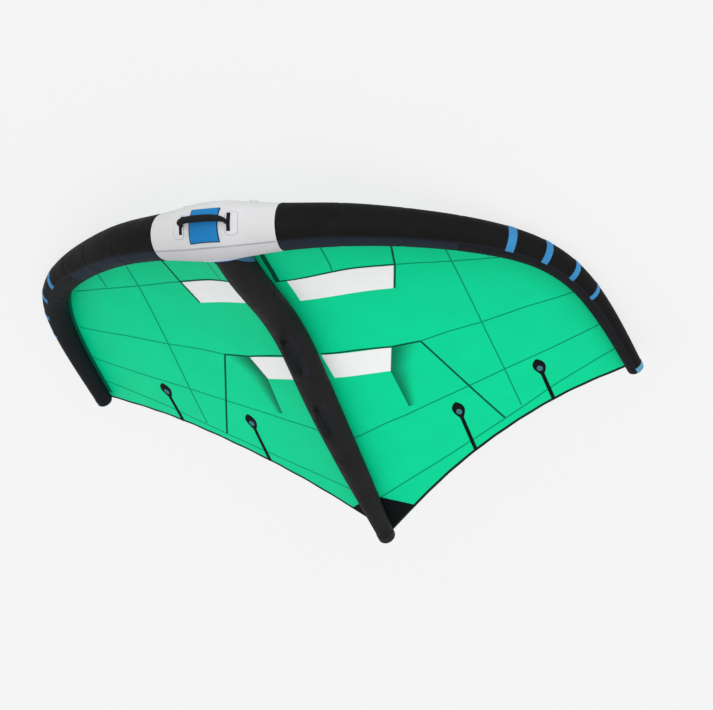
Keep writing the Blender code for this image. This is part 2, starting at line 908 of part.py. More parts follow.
def shrunk(grid, gap):
    """The grid with its outside columns and rows drawn in by a gap."""
    grid = grid.copy()
    for row, towards in ((0, 1), (-1, -2)):
        pull = grid[towards] - grid[row]
        grid[row] += pull / np.linalg.norm(pull, axis=1, keepdims=True) * gap
    for column, towards in ((0, 1), (-1, -2)):
        pull = grid[:, towards] - grid[:, column]
        grid[:, column] += pull / np.linalg.norm(pull, axis=1, keepdims=True) * gap
    return grid


def window(name, grid, first, count):
    """Clear film let into a panel."""
    pane = shrunk(grid[:, first : first + count + 1], seam_gap)
    return add_sheet(name, [pane], window_clear(), lower=-window_film)


def outer_panel(side, word):
    """Panel from the fore and aft seam to the tube, between the upper and the middle seam."""
    start = plan_places(upper_seam_shares)[-1]
    end = plan_places(middle_seam_shares)[-1]
    edge = edge_between(upper_seam_end_share, middle_seam_end_share, beside_tube_row_count, seam_gap, half_gap)
    columns = (columns_to_tube[1],)
    front = rail([start, edge[0, :2]], columns)
    back = rail([end, edge[-1, :2]], columns)
    front[:-1, 1] += half_gap
    back[:-1, 1] -= half_gap
    front[0, 0] += half_gap
    back[0, 0] += half_gap
    return add_sheet(f"canopy_outer_panel_{word}", [ruled(front, back, edge, side)], ripstop_green())


def rear_inner_grids(side):
    columns = (columns_to_window, columns_of_lower_window, columns_to_kink)
    sill_end = crossing(middle_seam_shares[3], lower_seam_shares[1], lower_sill_end_share)
    front = seam_rail(middle_seam_shares[:4], columns, half_gap)
    sill = seam_rail(lower_sill_shares + (sill_end,), columns, 0)
    back = seam_rail(lower_seam_shares[:2], (sum(columns),), -half_gap)
    for line in (front, sill, back):
        line[-1, 0] -= half_gap
    return [
        between(front, sill, lower_window_row_count, side),
        between(sill, back, rear_inner_panel_row_count, side),
    ]


def rear_inner_panel(side, word):
    """Panel behind the middle seam, with the lower window let into its front."""
    return add_sheet(
        f"canopy_rear_inner_panel_{word}",
        rear_inner_grids(side),
        ripstop_green(),
        keep=lambda g, i, j: not in_lower_window(g, j),
    )


def rear_outer_panel(side, word):
    """Panel from the slanting seam to the tube, between the middle and the lower seam."""
    edge = edge_between(middle_seam_end_share, lower_seam_end_share, beside_tube_row_count, half_gap, half_gap)
    front = rail(np.concatenate([plan_places(middle_seam_shares[3:]), [edge[0, :2]]]), columns_to_tube)
    back = rail(np.concatenate([plan_places(lower_seam_shares[1:]), [edge[-1, :2]]]), columns_to_tube)
    front[:-1, 1] += half_gap
    back[:-1, 1] -= half_gap
    front[0, 0] += half_gap
    back[0, 0] += half_gap
    return add_sheet(f"canopy_rear_outer_panel_{word}", [ruled(front, back, edge, side)], ripstop_green())


def hem_rail(inset, start, end, columns):
    """A line along the trailing edge, a distance inside it."""
    x = np.concatenate(
        [np.linspace(a, b, count + 1)[(k > 0) :] for k, (a, b, count) in enumerate(zip(start, end, columns))]
    )
    return np.column_stack([x, trailing_edge(x)[0] - inset])


columns_of_rear_panel = (6, 3, 6)


def rear_edge():
    return edge_between(lower_seam_end_share, canopy_end_share, beside_tube_row_count, half_gap, 0)


def rear_x(inset):
    """Distances from the middle at which the columns of the rear panel meet the trailing edge."""
    corner = rear_edge()[-1, 0]
    knees = [half_gap] + [share * half_span for share in (0.56, 0.66)] + [corner]
    return knees


def rear_grid(side):
    edge = rear_edge()
    front = rail(np.concatenate([plan_places(lower_seam_shares), [edge[0, :2]]]), columns_of_rear_panel)
    front[:-1, 1] += half_gap
    front[0, 0] += half_gap
    knees = rear_x(hem_width)
    back = hem_rail(hem_width, knees[:-1], knees[1:], columns_of_rear_panel)
    back[-1] = edge[-1, :2]
    return ruled(front, back, edge, side)


def rear_panel(side, word):
    """Panel between the lower seam and the trailing edge."""
    return add_sheet(f"canopy_rear_panel_{word}", [rear_grid(side)], ripstop_green())


def trailing_hem(side, word):
    """Doubled tape sewn along the trailing edge."""
    grid = rear_grid(side)
    front = np.abs(grid[-1, :-1, :2])
    front[:, 1] += seam_gap
    knees = rear_x(0)
    back = hem_rail(0, knees[:-1], knees[1:], columns_of_rear_panel)[:-1]
    strip = between(front, back, 1, side)
    return add_sheet(f"trailing_edge_hem_{word}", [strip], sailcloth_black(), lower=-hem_cloth, upper=0)


# Pieces sewn on the strut side of the rear panel


def laid_on(name, side, outline, lower, upper, material):
    """The part of a layer over the rear panel that lies within an outline."""
    layer = add_sheet(name, [rear_grid(side)], material, lower=lower, upper=upper)
    flat = [(side * x, y) for x, y in outline]
    low = -tip_sweep
    combine(layer, prism("trim_" + name, flat, low, -low, material), "INTERSECT")
    return layer


def corner_patch(side, word):
    """Triangle that stiffens the trailing edge beside the strut."""
    back = canopy_chord + cut_overrun
    inner = corner_patch_inset
    edge_y = trailing_edge(corner_patch_reach)[0]
    outline = [
        (inner, canopy_chord - corner_patch_depth),
        (corner_patch_reach, edge_y - hem_width),
        (corner_patch_reach, back),
        (inner, back),
    ]
    return laid_on(
        f"corner_patch_{word}", side, outline, seam_gap, seam_gap + patch_cloth, sailcloth_black()
    )


def batten_line(place):
    """Distance from the middle, and the front and back of a batten on the panel."""
    x = batten_span_shares[place] * half_span
    back = trailing_edge(x)[0] - hem_width
    return x, back - batten_length, back


def strip_outline(x, front, back, width):
    half = width / 2
    return [(x - half, front), (x + half, front), (x + half, back), (x - half, back)]


def spoon_outline(x, front, back):
    """A narrow strip with a drop-shaped head at its front end."""
    half = pocket_width / 2
    head_front = front - pocket_gap - pocket_head_length * 0.45
    points = []
    for k in range(pocket_head_points + 1):
        turn = k / pocket_head_points
        along = pocket_head_length * (1 - math.cos(math.pi * turn)) / 2
        wide = math.sin(math.pi * turn) * (1 - 0.25 * math.cos(math.pi * turn)) * pocket_head_width / 2
        if turn > 0.5:
            wide = max(wide, half)
        points.append((wide, head_front + along))
    right = [(x + wide, y) for wide, y in points] + [(x + half, back)]
    left = [(x - wide, y) for wide, y in reversed(points) if wide > seam_gap]
    return right + [(x - half, back)] + left


def batten(side, word, place, name):
    x, front, back = batten_line(place)
    outline = strip_outline(x, front, back - pocket_gap, batten_width)
    return laid_on(
        f"batten_{name}_{word}", side, outline, seam_gap, seam_gap + batten_thickness, batten_grey()
    )


def batten_pocket(side, word, place, name):
    """Cover sewn over the batten, with a channel that fits it."""
    x, front, back = batten_line(place)
    channel_top = seam_gap + batten_thickness + pocket_gap
    cover = laid_on(
        f"batten_pocket_{name}_{word}",
        side,
        spoon_outline(x, front, back),
        seam_gap,
        channel_top + pocket_cloth,
        sailcloth_black(),
    )
    width = batten_width + 2 * pocket_gap
    outline = strip_outline(x, front - pocket_gap, back + cut_overrun, width)
    channel = laid_on(
        f"channel_{name}_{word}", side, outline, seam_gap - cut_overrun, channel_top, sailcloth_black()
    )
    combine(cover, channel, "DIFFERENCE")
    return cover


# Handles


stud_reach = leg_radius + lug_gap + lug_thickness / 2


def handle_frame(first, last, lean):
    """Pivots, swing axis and the direction in which the grip stands, from the places of its two feet."""
    pivots = [centre + out * (seat_gap + pivot_height) for centre, _, _, out in (first, last)]
    axis = (pivots[1] - pivots[0]) / np.linalg.norm(pivots[1] - pivots[0])
    pivots = [pivots[0] + axis * stud_reach, pivots[1] - axis * stud_reach]
    rise = first[3] + last[3]
    rise -= axis * (rise @ axis)
    rise /= np.linalg.norm(rise)
    side = np.cross(axis, rise)
    return pivots, axis, rise, side, rise * math.cos(lean) + side * math.sin(lean)


def handle_foot(foot, pivot, axis, rise, side):
    """Adds to a foot the lug and the stud that the grip swings on. The axis points to the grip's middle."""
    height = pivot_height + leg_radius - foot_thickness / 2
    lug_centre = pivot - axis * stud_reach + rise * (leg_radius - height / 2)
    lug = add_object(
        foot.name + "_lug",
        *box_mesh(lug_centre, (side, axis, rise), (2 * leg_radius, lug_thickness, height)),
        sailcloth_black(),
    )
    stud = add_object(
        foot.name + "_stud",
        *cylinder(pivot - axis * stud_reach, axis, side, stud_reach + leg_radius, pivot_radius, grip_sides),
        sailcloth_black(),
    )
    combine(foot, lug, "UNION")
    combine(foot, stud, "UNION")


def handle_grip(name, pivots, axis, lean, reach):
    """Arched grip that swings on the studs of its two feet.

    The arch is a superellipse between the pivots, and it thickens with the square of the sine of
    the turn along it.
    """
    length = np.linalg.norm(pivots[1] - pivots[0])
    middle = (pivots[0] + pivots[1]) / 2
    turn = np.linspace(0, math.pi, grip_steps + 1)
    bend = 2 / arch_power
    travel = length / 2 * (1 - np.sign(np.cos(turn)) * np.abs(np.cos(turn)) ** bend)
    height = (reach - pivot_height) * np.abs(np.sin(turn)) ** bend
    travel = np.concatenate([[0], travel, [length]])
    height = np.concatenate([[pivot_clearance - leg_radius], height, [pivot_clearance - leg_radius]])
    path = pivots[0] + travel[:, None] * axis + height[:, None] * lean
    thick = np.sin(np.concatenate([[0], turn, [0]])) ** 2
    radii = leg_radius + (grip_radius - leg_radius) * thick
    grip = add_object(
        name, *path_tube(path, radii, grip_sides, np.cross(axis, lean)), rubber_black(), origin=middle
    )
    bore_length = length + 4 * leg_radius
    bore = add_object(
        name + "_bore",
        *cylinder(
            middle - axis * bore_length / 2,
            axis,
            lean,
            bore_length,
            pivot_radius + pivot_clearance,
            grip_sides,
        ),
        rubber_black(),
    )
    combine(grip, bore, "DIFFERENCE")
    return grip


def front_handle():
    """Handle across the front of the leading edge, on two feet that follow the tube's girth."""
    share = front_handle_share
    frames = [tube_facet(place, front_handle_side) for place in (-share, share)]
    pivots, axis, rise, side, lean = handle_frame(frames[0], frames[1], front_handle_lean)
    half = share_of(front_foot_length) / 2
    for word, place, pivot, inward in (("right", -share, pivots[0], axis), ("left", share, pivots[1], -axis)):
        span = np.array([place - half, place + half])
        layers = [
            part_way_round(chord_rings(span, tube_sides, offset), front_foot_sides)
            for offset in (seat_gap + foot_thickness, seat_gap)
        ]
        foot = add_object(f"front_handle_foot_{word}", *strip_shell(*layers), sailcloth_black())
        handle_foot(foot, pivot, inward, rise, side)
    return handle_grip("front_handle_grip", pivots, axis, lean, front_handle_reach)


def strut_handle(name, ends):
    """Handle along the top of the strut, on two flat feet."""
    frames = [strut_facet(place, strut_sides // 2) for place in ends]
    pivots, axis, rise, side, lean = handle_frame(frames[0], frames[1], strut_handle_lean)
    for word, frame, pivot, inward in (("front", frames[0], pivots[0], axis), ("rear", frames[1], pivots[1], -axis)):
        centre, along, across, out = frame
        plate = box_mesh(
            centre + out * (seat_gap + foot_thickness / 2),
            (across, along, out),
            (strut_foot_width, strut_foot_length, foot_thickness),
        )
        foot = add_object(f"{name}_foot_{word}", *plate, sailcloth_black())
        handle_foot(foot, pivot, inward, rise, side)
    handle_grip(f"{name}_grip", pivots, axis, lean, strut_handle_reach)


def knuckle_pad():
    """Padded patch glued on the front of the leading edge, under the handle."""
    shares = np.array([-pad_share, 0, pad_share])
    layers = [
        part_way_round(chord_rings(shares, tube_sides, offset), pad_sides)
        for offset in (seam_gap + pad_thickness, seam_gap)
    ]
    return add_object("knuckle_pad", *strip_shell(*layers), foam_blue())


# Valves


def valve_hole(name, side):
    centre, along, _, out = tube_facet(side * valve_share, valve_side)
    depth = valve_neck_depth + cut_overrun
    radius = valve_neck_radius + valve_hole_clearance
    hole = cylinder(centre - out * depth, out, along, depth + cut_overrun, radius, valve_sides)
    return add_object(name, *hole, plastic_black())


def valve_body(side, word):
    """Flanged neck that passes through the sleeve and the bladder."""
    centre, along, _, out = tube_facet(side * valve_share, valve_side)
    base = centre + out * seat_gap
    steps = (
        (-valve_neck_depth, valve_neck_radius),
        (0, valve_neck_radius),
        (0, valve_flange_radius),
        (valve_flange, valve_flange_radius),
    )
    turned = stepped_cylinder(base, out, along, steps, valve_sides)
    body = add_object(f"{word}_valve_body", *turned, plastic_black())
    bore_start = base - out * (valve_neck_depth + cut_overrun)
    bore_length = valve_neck_depth + valve_flange + 2 * cut_overrun
    bore = cylinder(bore_start, out, along, bore_length, valve_bore_radius, valve_sides)
    combine(body, add_object(f"{word}_valve_bore", *bore, plastic_black()), "DIFFERENCE")
    add_valve_ears(body, side)
    return body


valve_swing = valve_flange_radius + valve_hinge_radius + valve_cap_gap


def valve_pivot(side):
    """Place of the cap's hinge, beside the flange."""
    centre, _, across, out = tube_facet(side * valve_share, valve_side)
    height = seat_gap + valve_flange + valve_cap_gap + valve_hinge_radius
    return centre + out * height + across * valve_swing


def add_valve_ears(body, side):
    """Adds two ears and a pin between them, on which the cap swings."""
    _, along, across, out = tube_facet(side * valve_share, valve_side)
    pivot = valve_pivot(side)
    rise = 2 * valve_hinge_radius + valve_cap_gap + valve_flange
    reach = valve_swing + valve_hinge_radius - valve_bore_radius - valve_cap_gap
    offset = valve_hinge_length / 2 + valve_cap_gap + valve_ear_thickness / 2
    for name, sign in (("near", -1), ("far", 1)):
        ear_centre = pivot + sign * along * offset + out * (valve_hinge_radius - rise / 2)
        ear_centre += across * (valve_hinge_radius - reach / 2)
        ear = box_mesh(ear_centre, (along, across, out), (valve_ear_thickness, reach, rise))
        combine(body, add_object(f"{body.name}_{name}_ear", *ear, plastic_black()), "UNION")
    pin = cylinder(pivot - along * offset, along, across, 2 * offset, valve_pin_radius, grip_sides)
    combine(body, add_object(f"{body.name}_pin", *pin, plastic_black()), "UNION")


def valve_cap(side, word):
    """Cap that plugs the neck and swings about its hinge roll, with room beside it for the ears."""
    centre, along, across, out = tube_facet(side * valve_share, valve_side)
    base = centre + out * (seat_gap + valve_flange + valve_cap_gap)
    swing = valve_swing
    pivot = valve_pivot(side)
    plug = valve_bore_radius - valve_cap_gap
    steps = (
        (-valve_cap_plug, plug - valve_cap_plug / 2),
        (0, plug),
        (0, valve_flange_radius),
        (valve_cap_thickness, valve_flange_radius),
    )
    turned = stepped_cylinder(base, out, along, steps, valve_sides)
    cap = add_object(f"{word}_valve_cap", *turned, plastic_black(), origin=pivot)
    tab_thickness = valve_cap_thickness - valve_cap_gap
    tab = box_mesh(
        pivot - across * swing / 2 + out * (tab_thickness / 2 - valve_hinge_radius + valve_cap_gap / 2),
        (along, across, out),
        (valve_hinge_length, swing, tab_thickness),
    )
    roll_start = pivot - along * valve_hinge_length / 2
    roll = cylinder(roll_start, along, across, valve_hinge_length, valve_hinge_radius, grip_sides)
    combine(cap, add_object(f"{word}_valve_tab", *tab, plastic_black()), "UNION")
    combine(cap, add_object(f"{word}_valve_roll", *roll, plastic_black()), "UNION")
    bore_start = pivot - along * valve_hinge_length
    bore = cylinder(bore_start, along, across, 2 * valve_hinge_length, valve_hinge_bore_radius, grip_sides)
    combine(cap, add_object(f"{word}_valve_hinge_bore", *bore, plastic_black()), "DIFFERENCE")
    ear_room = valve_ear_thickness + valve_cap_gap
    offset = valve_hinge_length / 2 + valve_cap_gap + valve_ear_thickness / 2
    room_reach = valve_swing + valve_hinge_radius - valve_bore_radius
    for name, sign in (("near", -1), ("far", 1)):
        room_centre = pivot + sign * along * offset + across * (valve_hinge_radius - room_reach / 2)
        room = box_mesh(room_centre, (along, across, out), (ear_room, room_reach, 2 * valve_swing))
        combine(cap, add_object(f"{word}_valve_{name}_room", *room, plastic_black()), "DIFFERENCE")
    return cap


# Air hose


def hose_ends():
    """Frames of the hose's two fittings: on the leading edge beside the strut, and on the strut."""
    place = share_of(strut_line(0)[1] + fitting_radius + hose_clearance)
    return tube_facet(place, hose_tube_side), strut_facet(hose_strut_place, hose_strut_side)


def hose_fitting(name, frame):
    """Round nozzle on a flange, through the cloth and the bladder."""
    centre, along, _, out = frame
    base = centre + out * seat_gap
    steps = (
        (-valve_neck_depth, hose_radius),
        (0, hose_radius),
        (0, fitting_radius),
        (fitting_height / 3, fitting_radius),
        (fitting_height, hose_radius),
    )
    fitting = add_object(name, *stepped_cylinder(base, out, along, steps, hose_sides), plastic_black())
    bore_start = base - out * (valve_neck_depth + cut_overrun)
    bore_length = valve_neck_depth + fitting_height + 2 * cut_overrun
    bore = cylinder(bore_start, out, along, bore_length, hose_bore_radius, hose_sides)
    combine(fitting, add_object(name + "_bore", *bore, plastic_black()), "DIFFERENCE")
    return fitting


def fitting_hole(name, frame):
    centre, along, _, out = frame
    depth = valve_neck_depth + cut_overrun
    radius = hose_radius + valve_hole_clearance
    hole = cylinder(centre - out * depth, out, along, depth + cut_overrun, radius, hose_sides)
    return add_object(name, *hole, plastic_black())


def air_hose(ends):
    """Short hose that fills the strut from the leading edge."""
    first, last = ends
    start = first[0] + first[3] * (2 * seat_gap + fitting_height)
    end = last[0] + last[3] * (2 * seat_gap + fitting_height)
    share = np.linspace(0, 1, hose_steps + 1)[:, None]
    path = (
        (1 - share) ** 3 * start
        + 3 * (1 - share) ** 2 * share * (start + first[3] * hose_pull)
        + 3 * (1 - share) * share**2 * (end + last[3] * hose_pull)
        + share**3 * end
    )
    along = np.gradient(path, axis=0)
    along[0], along[-1] = first[3], -last[3]
    along /= np.linalg.norm(along, axis=1, keepdims=True)
    side = np.cross(first[3], last[3])
    side = side - along * (along @ side)[:, None]
    side /= np.linalg.norm(side, axis=1, keepdims=True)
    other = np.cross(along, side)
    angle = (np.arange(hose_sides) + 0.5) * math.tau / hose_sides
    ring = np.cos(angle)[None, :, None] * side[:, None] + np.sin(angle)[None, :, None] * other[:, None]
    layers = [(path[:, None] + radius * ring) for radius in (hose_radius, hose_bore_radius)]
    return add_object("air_hose", *open_shell(*layers), rubber_black())


# The whole wing


def set_on_ground(front_grip):
    """Moves the wing so that its lowest place is at height zero and its length is centred."""
    rings = tube_rings(both_halves(ring_shares, -1), tube_sides, 0)
    low = rings[..., 2].min()
    front = front_grip.location.y + min(vertex.co.y for vertex in front_grip.data.vertices)
    back = trailing_edge(half_gap)[0]
    ground.location = (0, -(front + back) / 2, -low)


def build():
    centre = sleeve_joint_shares[0]
    middle_sleeve = add_sleeve("leading_edge_sleeve_centre", -centre, centre, sailcloth_white())
    for name, first, last in zip(("inner", "middle", "outer"), sleeve_joint_shares, sleeve_joint_shares[1:]):
        add_sleeve(f"leading_edge_sleeve_{name}_left", first, last, sailcloth_black())
        add_sleeve(f"leading_edge_sleeve_{name}_right", -last, -first, sailcloth_black())
    add_tip_cap("tip_cap_left", 1)
    add_tip_cap("tip_cap_right", -1)
    sleeve = strut_sleeve()
    strut_tail_cap()
    strut_collar()
    ends = hose_ends()
    for word, side in (("inflate", 1), ("deflate", -1)):
        combine(middle_sleeve, valve_hole(f"hole_{word}_sleeve", side), "DIFFERENCE")
        valve_body(side, word)
        valve_cap(side, word)
    combine(middle_sleeve, fitting_hole("hole_hose_sleeve", ends[0]), "DIFFERENCE")
    combine(sleeve, fitting_hole("hole_hose_strut", ends[1]), "DIFFERENCE")
    leading_edge_bladder(
        [
            valve_hole("hole_inflate_bladder", 1),
            valve_hole("hole_deflate_bladder", -1),
            fitting_hole("hole_hose_bladder", ends[0]),
        ]
    )
    strut_bladder([fitting_hole("hole_hose_strut_bladder", ends[1])])
    hose_fitting("hose_fitting_tube", ends[0])
    hose_fitting("hose_fitting_strut", ends[1])
    air_hose(ends)
    for word, side in (("left", 1), ("right", -1)):
        front_panel(side, word)
        middle_panel(side, word)
        outer_panel(side, word)
        rear_inner_panel(side, word)
        rear_outer_panel(side, word)
        rear_panel(side, word)
        trailing_hem(side, word)
        window(f"upper_window_{word}", middle_grids(side)[0], columns_to_window, columns_of_upper_window)
        window(f"lower_window_{word}", rear_inner_grids(side)[0], columns_to_window, columns_of_lower_window)
        corner_patch(side, word)
        for place, name in enumerate(("inner", "outer")):
            batten(side, word, place, name)
            batten_pocket(side, word, place, name)
    knuckle_pad()
    front_grip = front_handle()
    for name, ends in zip(("strut_front_handle", "strut_rear_handle"), strut_handle_ends):
        strut_handle(name, ends)
    set_on_ground(front_grip)


clear_scene()
ground = bpy.data.objects.new("ground", None)
bpy.context.scene.collection.objects.link(ground)
build()
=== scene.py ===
"""Camera, light and looks of the inflatable hand-held wing, piece by piece."""

import math
from functools import partial

import bpy
import numpy as np
from mathutils import Matrix


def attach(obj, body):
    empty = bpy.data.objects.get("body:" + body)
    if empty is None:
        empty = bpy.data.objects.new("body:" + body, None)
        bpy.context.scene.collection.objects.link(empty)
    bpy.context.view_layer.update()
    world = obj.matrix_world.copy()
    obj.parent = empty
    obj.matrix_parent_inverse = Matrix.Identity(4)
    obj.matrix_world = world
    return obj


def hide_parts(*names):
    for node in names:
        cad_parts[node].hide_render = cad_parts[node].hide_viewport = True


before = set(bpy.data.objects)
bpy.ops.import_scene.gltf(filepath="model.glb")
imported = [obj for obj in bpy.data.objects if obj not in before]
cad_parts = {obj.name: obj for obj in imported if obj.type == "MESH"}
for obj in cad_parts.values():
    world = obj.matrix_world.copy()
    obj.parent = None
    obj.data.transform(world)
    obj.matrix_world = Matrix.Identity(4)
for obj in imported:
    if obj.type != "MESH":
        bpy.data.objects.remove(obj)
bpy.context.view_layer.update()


# Camera
# The photograph shows the wing from in front and above, with the camera rolled half round, so that
# the leading edge is at the top of the picture. A long lens stands 13 metres away.
camera = bpy.data.objects.new("camera", bpy.data.cameras.new("camera"))
bpy.context.scene.collection.objects.link(camera)
camera.data.lens = 157.14
camera.data.sensor_width = 36
camera.data.clip_end = 100
view_right = (-0.90307, 0.38094, -0.19836)
view_up = (-0.06007, -0.56933, -0.81991)
view_back = (-0.42527, -0.72852, 0.53703)
view_place = (-5.998, -9.8458, 7.5620)
camera.matrix_world = Matrix([*zip(view_right, view_up, view_back, view_place), (0, 0, 0, 1)])
bpy.context.scene.camera = camera


# Floor and studio light
# A pale floor that runs out of sight, one broad soft lamp from the camera's side, and an even white
# room. The floor is shown at the paper's tone and keeps part of the wing's soft shadow.
paper_tone = 0.913


def feed(tree, node, inputs):
    """Links a node's inputs to sockets, or gives them values."""
    for key, value in dict(inputs).items():
        if isinstance(value, bpy.types.NodeSocket):
            tree.links.new(value, node.inputs[key])
        else:
            node.inputs[key].default_value = value


def wire(tree, kind, inputs=(), **settings):
    """Adds a node, makes its settings and feeds its inputs."""
    node = tree.nodes.new(kind)
    for key, value in settings.items():
        setattr(node, key, value)
    feed(tree, node, inputs)
    return node


def maths(tree, operation, *values):
    """The result of one operation on up to three sockets or numbers."""
    return wire(tree, "ShaderNodeMath", enumerate(values), operation=operation).outputs[0]


def ranged(tree, *limits, **settings):
    """A value carried over from a range to another: value, start, end, new start and new end."""
    return wire(tree, "ShaderNodeMapRange", enumerate(limits), **settings).outputs[0]


def blank_material(name):
    """A new material, its node tree and its shader."""
    material = bpy.data.materials.new(name)
    material.use_nodes = True
    return material, material.node_tree, material.node_tree.nodes["Principled BSDF"]


def studio_floor():
    """A square of paper just under the lowest seam tape.

    It shows mostly its own even tone, and lights the wing's underside a little more than it shows.
    """
    half, level = 30, -0.002
    own_light, under_light = 0.86, 0.30
    mesh = bpy.data.meshes.new("floor")
    signs = ((-1, -1), (1, -1), (1, 1), (-1, 1))
    mesh.from_pydata([(half * x, half * y, level) for x, y in signs], [], [(0, 1, 2, 3)])
    floor = bpy.data.objects.new("floor", mesh)
    bpy.context.scene.collection.objects.link(floor)
    material, tree, shader = blank_material("floor_paper")
    ray = wire(tree, "ShaderNodeLightPath").outputs
    lift = maths(tree, "MULTIPLY", ray["Is Diffuse Ray"], under_light)
    paper = {"Base Color": (0.90, 0.90, 0.90, 1), "Roughness": 0.9}
    feed(tree, shader, {**paper, "Emission Color": (1, 1, 1, 1), "Emission Strength": lift})
    seen = maths(tree, "MAXIMUM", ray["Is Camera Ray"], ray["Is Glossy Ray"])
    seen = maths(tree, "MAXIMUM", seen, ray["Is Transmission Ray"])
    share = maths(tree, "MULTIPLY", seen, own_light)
    glow = wire(tree, "ShaderNodeEmission", {"Color": (paper_tone, paper_tone, paper_tone, 1)})
    shown = wire(tree, "ShaderNodeMixShader", {0: share, 1: shader.outputs[0], 2: glow.outputs[0]})
    feed(tree, tree.nodes["Material Output"], {"Surface": shown.outputs[0]})
    mesh.materials.append(material)


def studio_light():
    """An even white room, and one lamp as wide as 40 degrees of sky."""
    room_strength, lamp_strength = 0.82, 1.25
    lamp_width, lamp_tilt, lamp_turn = np.radians((40, 66, -30))
    world = bpy.data.worlds.new("studio")
    world.use_nodes = True
    tree = world.node_tree
    seen = wire(tree, "ShaderNodeLightPath").outputs["Is Camera Ray"]
    tone = ranged(tree, seen, 0, 1, room_strength, paper_tone)
    feed(tree, tree.nodes["Background"], {"Color": (1, 1, 1, 1), "Strength": tone})
    bpy.context.scene.world = world
    lamp = bpy.data.objects.new("lamp", bpy.data.lights.new("lamp", "SUN"))
    lamp.data.energy = lamp_strength
    lamp.data.angle = lamp_width
    lamp.rotation_euler = (lamp_tilt, 0, lamp_turn)
    bpy.context.scene.collection.objects.link(lamp)


studio_floor()
studio_light()
bpy.context.scene.view_settings.view_transform = "Standard"


# Leading edge sleeves
# The real one is a tapering, curved tube of woven polyester cloth, blown up hard by the bladder
# inside. It is sewn from a white middle and two black ends. Each black end has a lighter panel on
# its upper side, and the white middle's upper panel is a little darker than its front as painted
# shade. Every girth seam pinches the tube a little.
ground = np.array([0, -0.931779, 0.304030])
half_span, tip_sweep, tip_drop, centre_radius = 1.330, 1.462, 0.212, 0.1252
station_shares = (0, 0.10, 0.22, 0.36, 0.50, 0.62, 0.72, 0.80, 0.88, 1)
span_shares = (0, 0.166, 0.355, 0.557, 0.746, 0.885, 0.954, 0.979, 0.991, 1)
sweep_shares = (0, 0.024, 0.079, 0.180, 0.303, 0.434, 0.573, 0.694, 0.816, 1)
drop_shares = (0, 0.107, 0.348, 0.678, 0.968, 1.140, 1.183, 1.153, 1.100, 1)
radius_shares = (1, 0.837, 0.729, 0.637, 0.562, 0.486, 0.414, 0.367, 0.328, 0.280)
attach_angle = math.radians(41)
white_end_share, tip_end_share = 0.119, 0.9945
girth_seam_shares = (0.235, 0.352, 0.453)
pinch_depth, pinch_reach = 0.0014, 0.0045
gather_height, gather_reach, gathers_round = 0.0004, 0.012, 13
panel_line_shares = (0, 0.119, 0.122, 0.5, 1)
panel_line_degrees = (18.5, 17.2, 19, 24, 27)
stitch_offset, stitch_half, stitch_step, stitch_share = 0.004, 0.0007, 0.005, 0.6


def spline(knots, values, at):
    """Natural cubic curve through values at knots: its second slope is zero at both ends."""
    knots, values, at = (np.asarray(each, float) for each in (knots, values, at))
    gap = np.diff(knots)
    slope = (np.diff(values, axis=0).T / gap).T
    inside = np.arange(1, len(knots) - 1)
    matrix = np.eye(len(knots))
    matrix[inside, inside - 1] = gap[:-1]
    matrix[inside, inside] = 2 * (gap[:-1] + gap[1:])
    matrix[inside, inside + 1] = gap[1:]
    right = np.zeros_like(values)
    right[1:-1] = 6 * np.diff(slope, axis=0)
    bend = np.linalg.solve(matrix, right)
    i = np.clip(np.searchsorted(knots, at, side="right") - 1, 0, len(knots) - 2)
    width = gap[i]
    before, after = (knots[i + 1] - at) / width, (at - knots[i]) / width
    if values.ndim > 1:
        width, before, after = width[..., None], before[..., None], after[..., None]
    curve = (before**3 - before) * bend[i] + (after**3 - after) * bend[i + 1]
    return before * values[i] + after * values[i + 1] + curve * width * width / 6


def unit(vectors):
    """The same directions at a length of one."""
    return vectors / np.linalg.norm(vectors, axis=-1, keepdims=True)


def run_along(path):
    """Metres along a path, from its first point to each point."""
    return np.concatenate([[0], np.cumsum(np.linalg.norm(np.diff(path, axis=0), axis=1))])


def bells(places, seams, reach):
    """A bell curve round each seam: e to the power of minus the square of distance over reach."""
    return np.exp(-(((places[..., None] - np.array(seams)) / reach) ** 2)).sum(axis=-1)


def both_halves(shares, sign):
    """The values of one half, with those of the other half before them."""
    shares = np.array(shares, float)
    return np.concatenate([sign * shares[:0:-1], shares])


def tube_line(share):
    """Centre line and radius of the leading edge at shares of its half length."""
    knots = both_halves(station_shares, -1)
    span = both_halves(span_shares, -1) * half_span
    sweep = both_halves(sweep_shares, 1) * tip_sweep
    drop = both_halves(drop_shares, 1) * tip_drop
    centre = spline(knots, np.column_stack([span, sweep, -drop]), share) + ground
    return centre, spline(knots, both_halves(radius_shares, 1) * centre_radius, share)


def tube_length(share):
    """Metres along the leading edge from its middle to a share of its half length."""
    steps = np.linspace(-1, 1, 801)
    run = run_along(tube_line(steps)[0])
    return np.interp(share, steps, run - run[len(steps) // 2])


metres_of_half = float(tube_length(1.0))


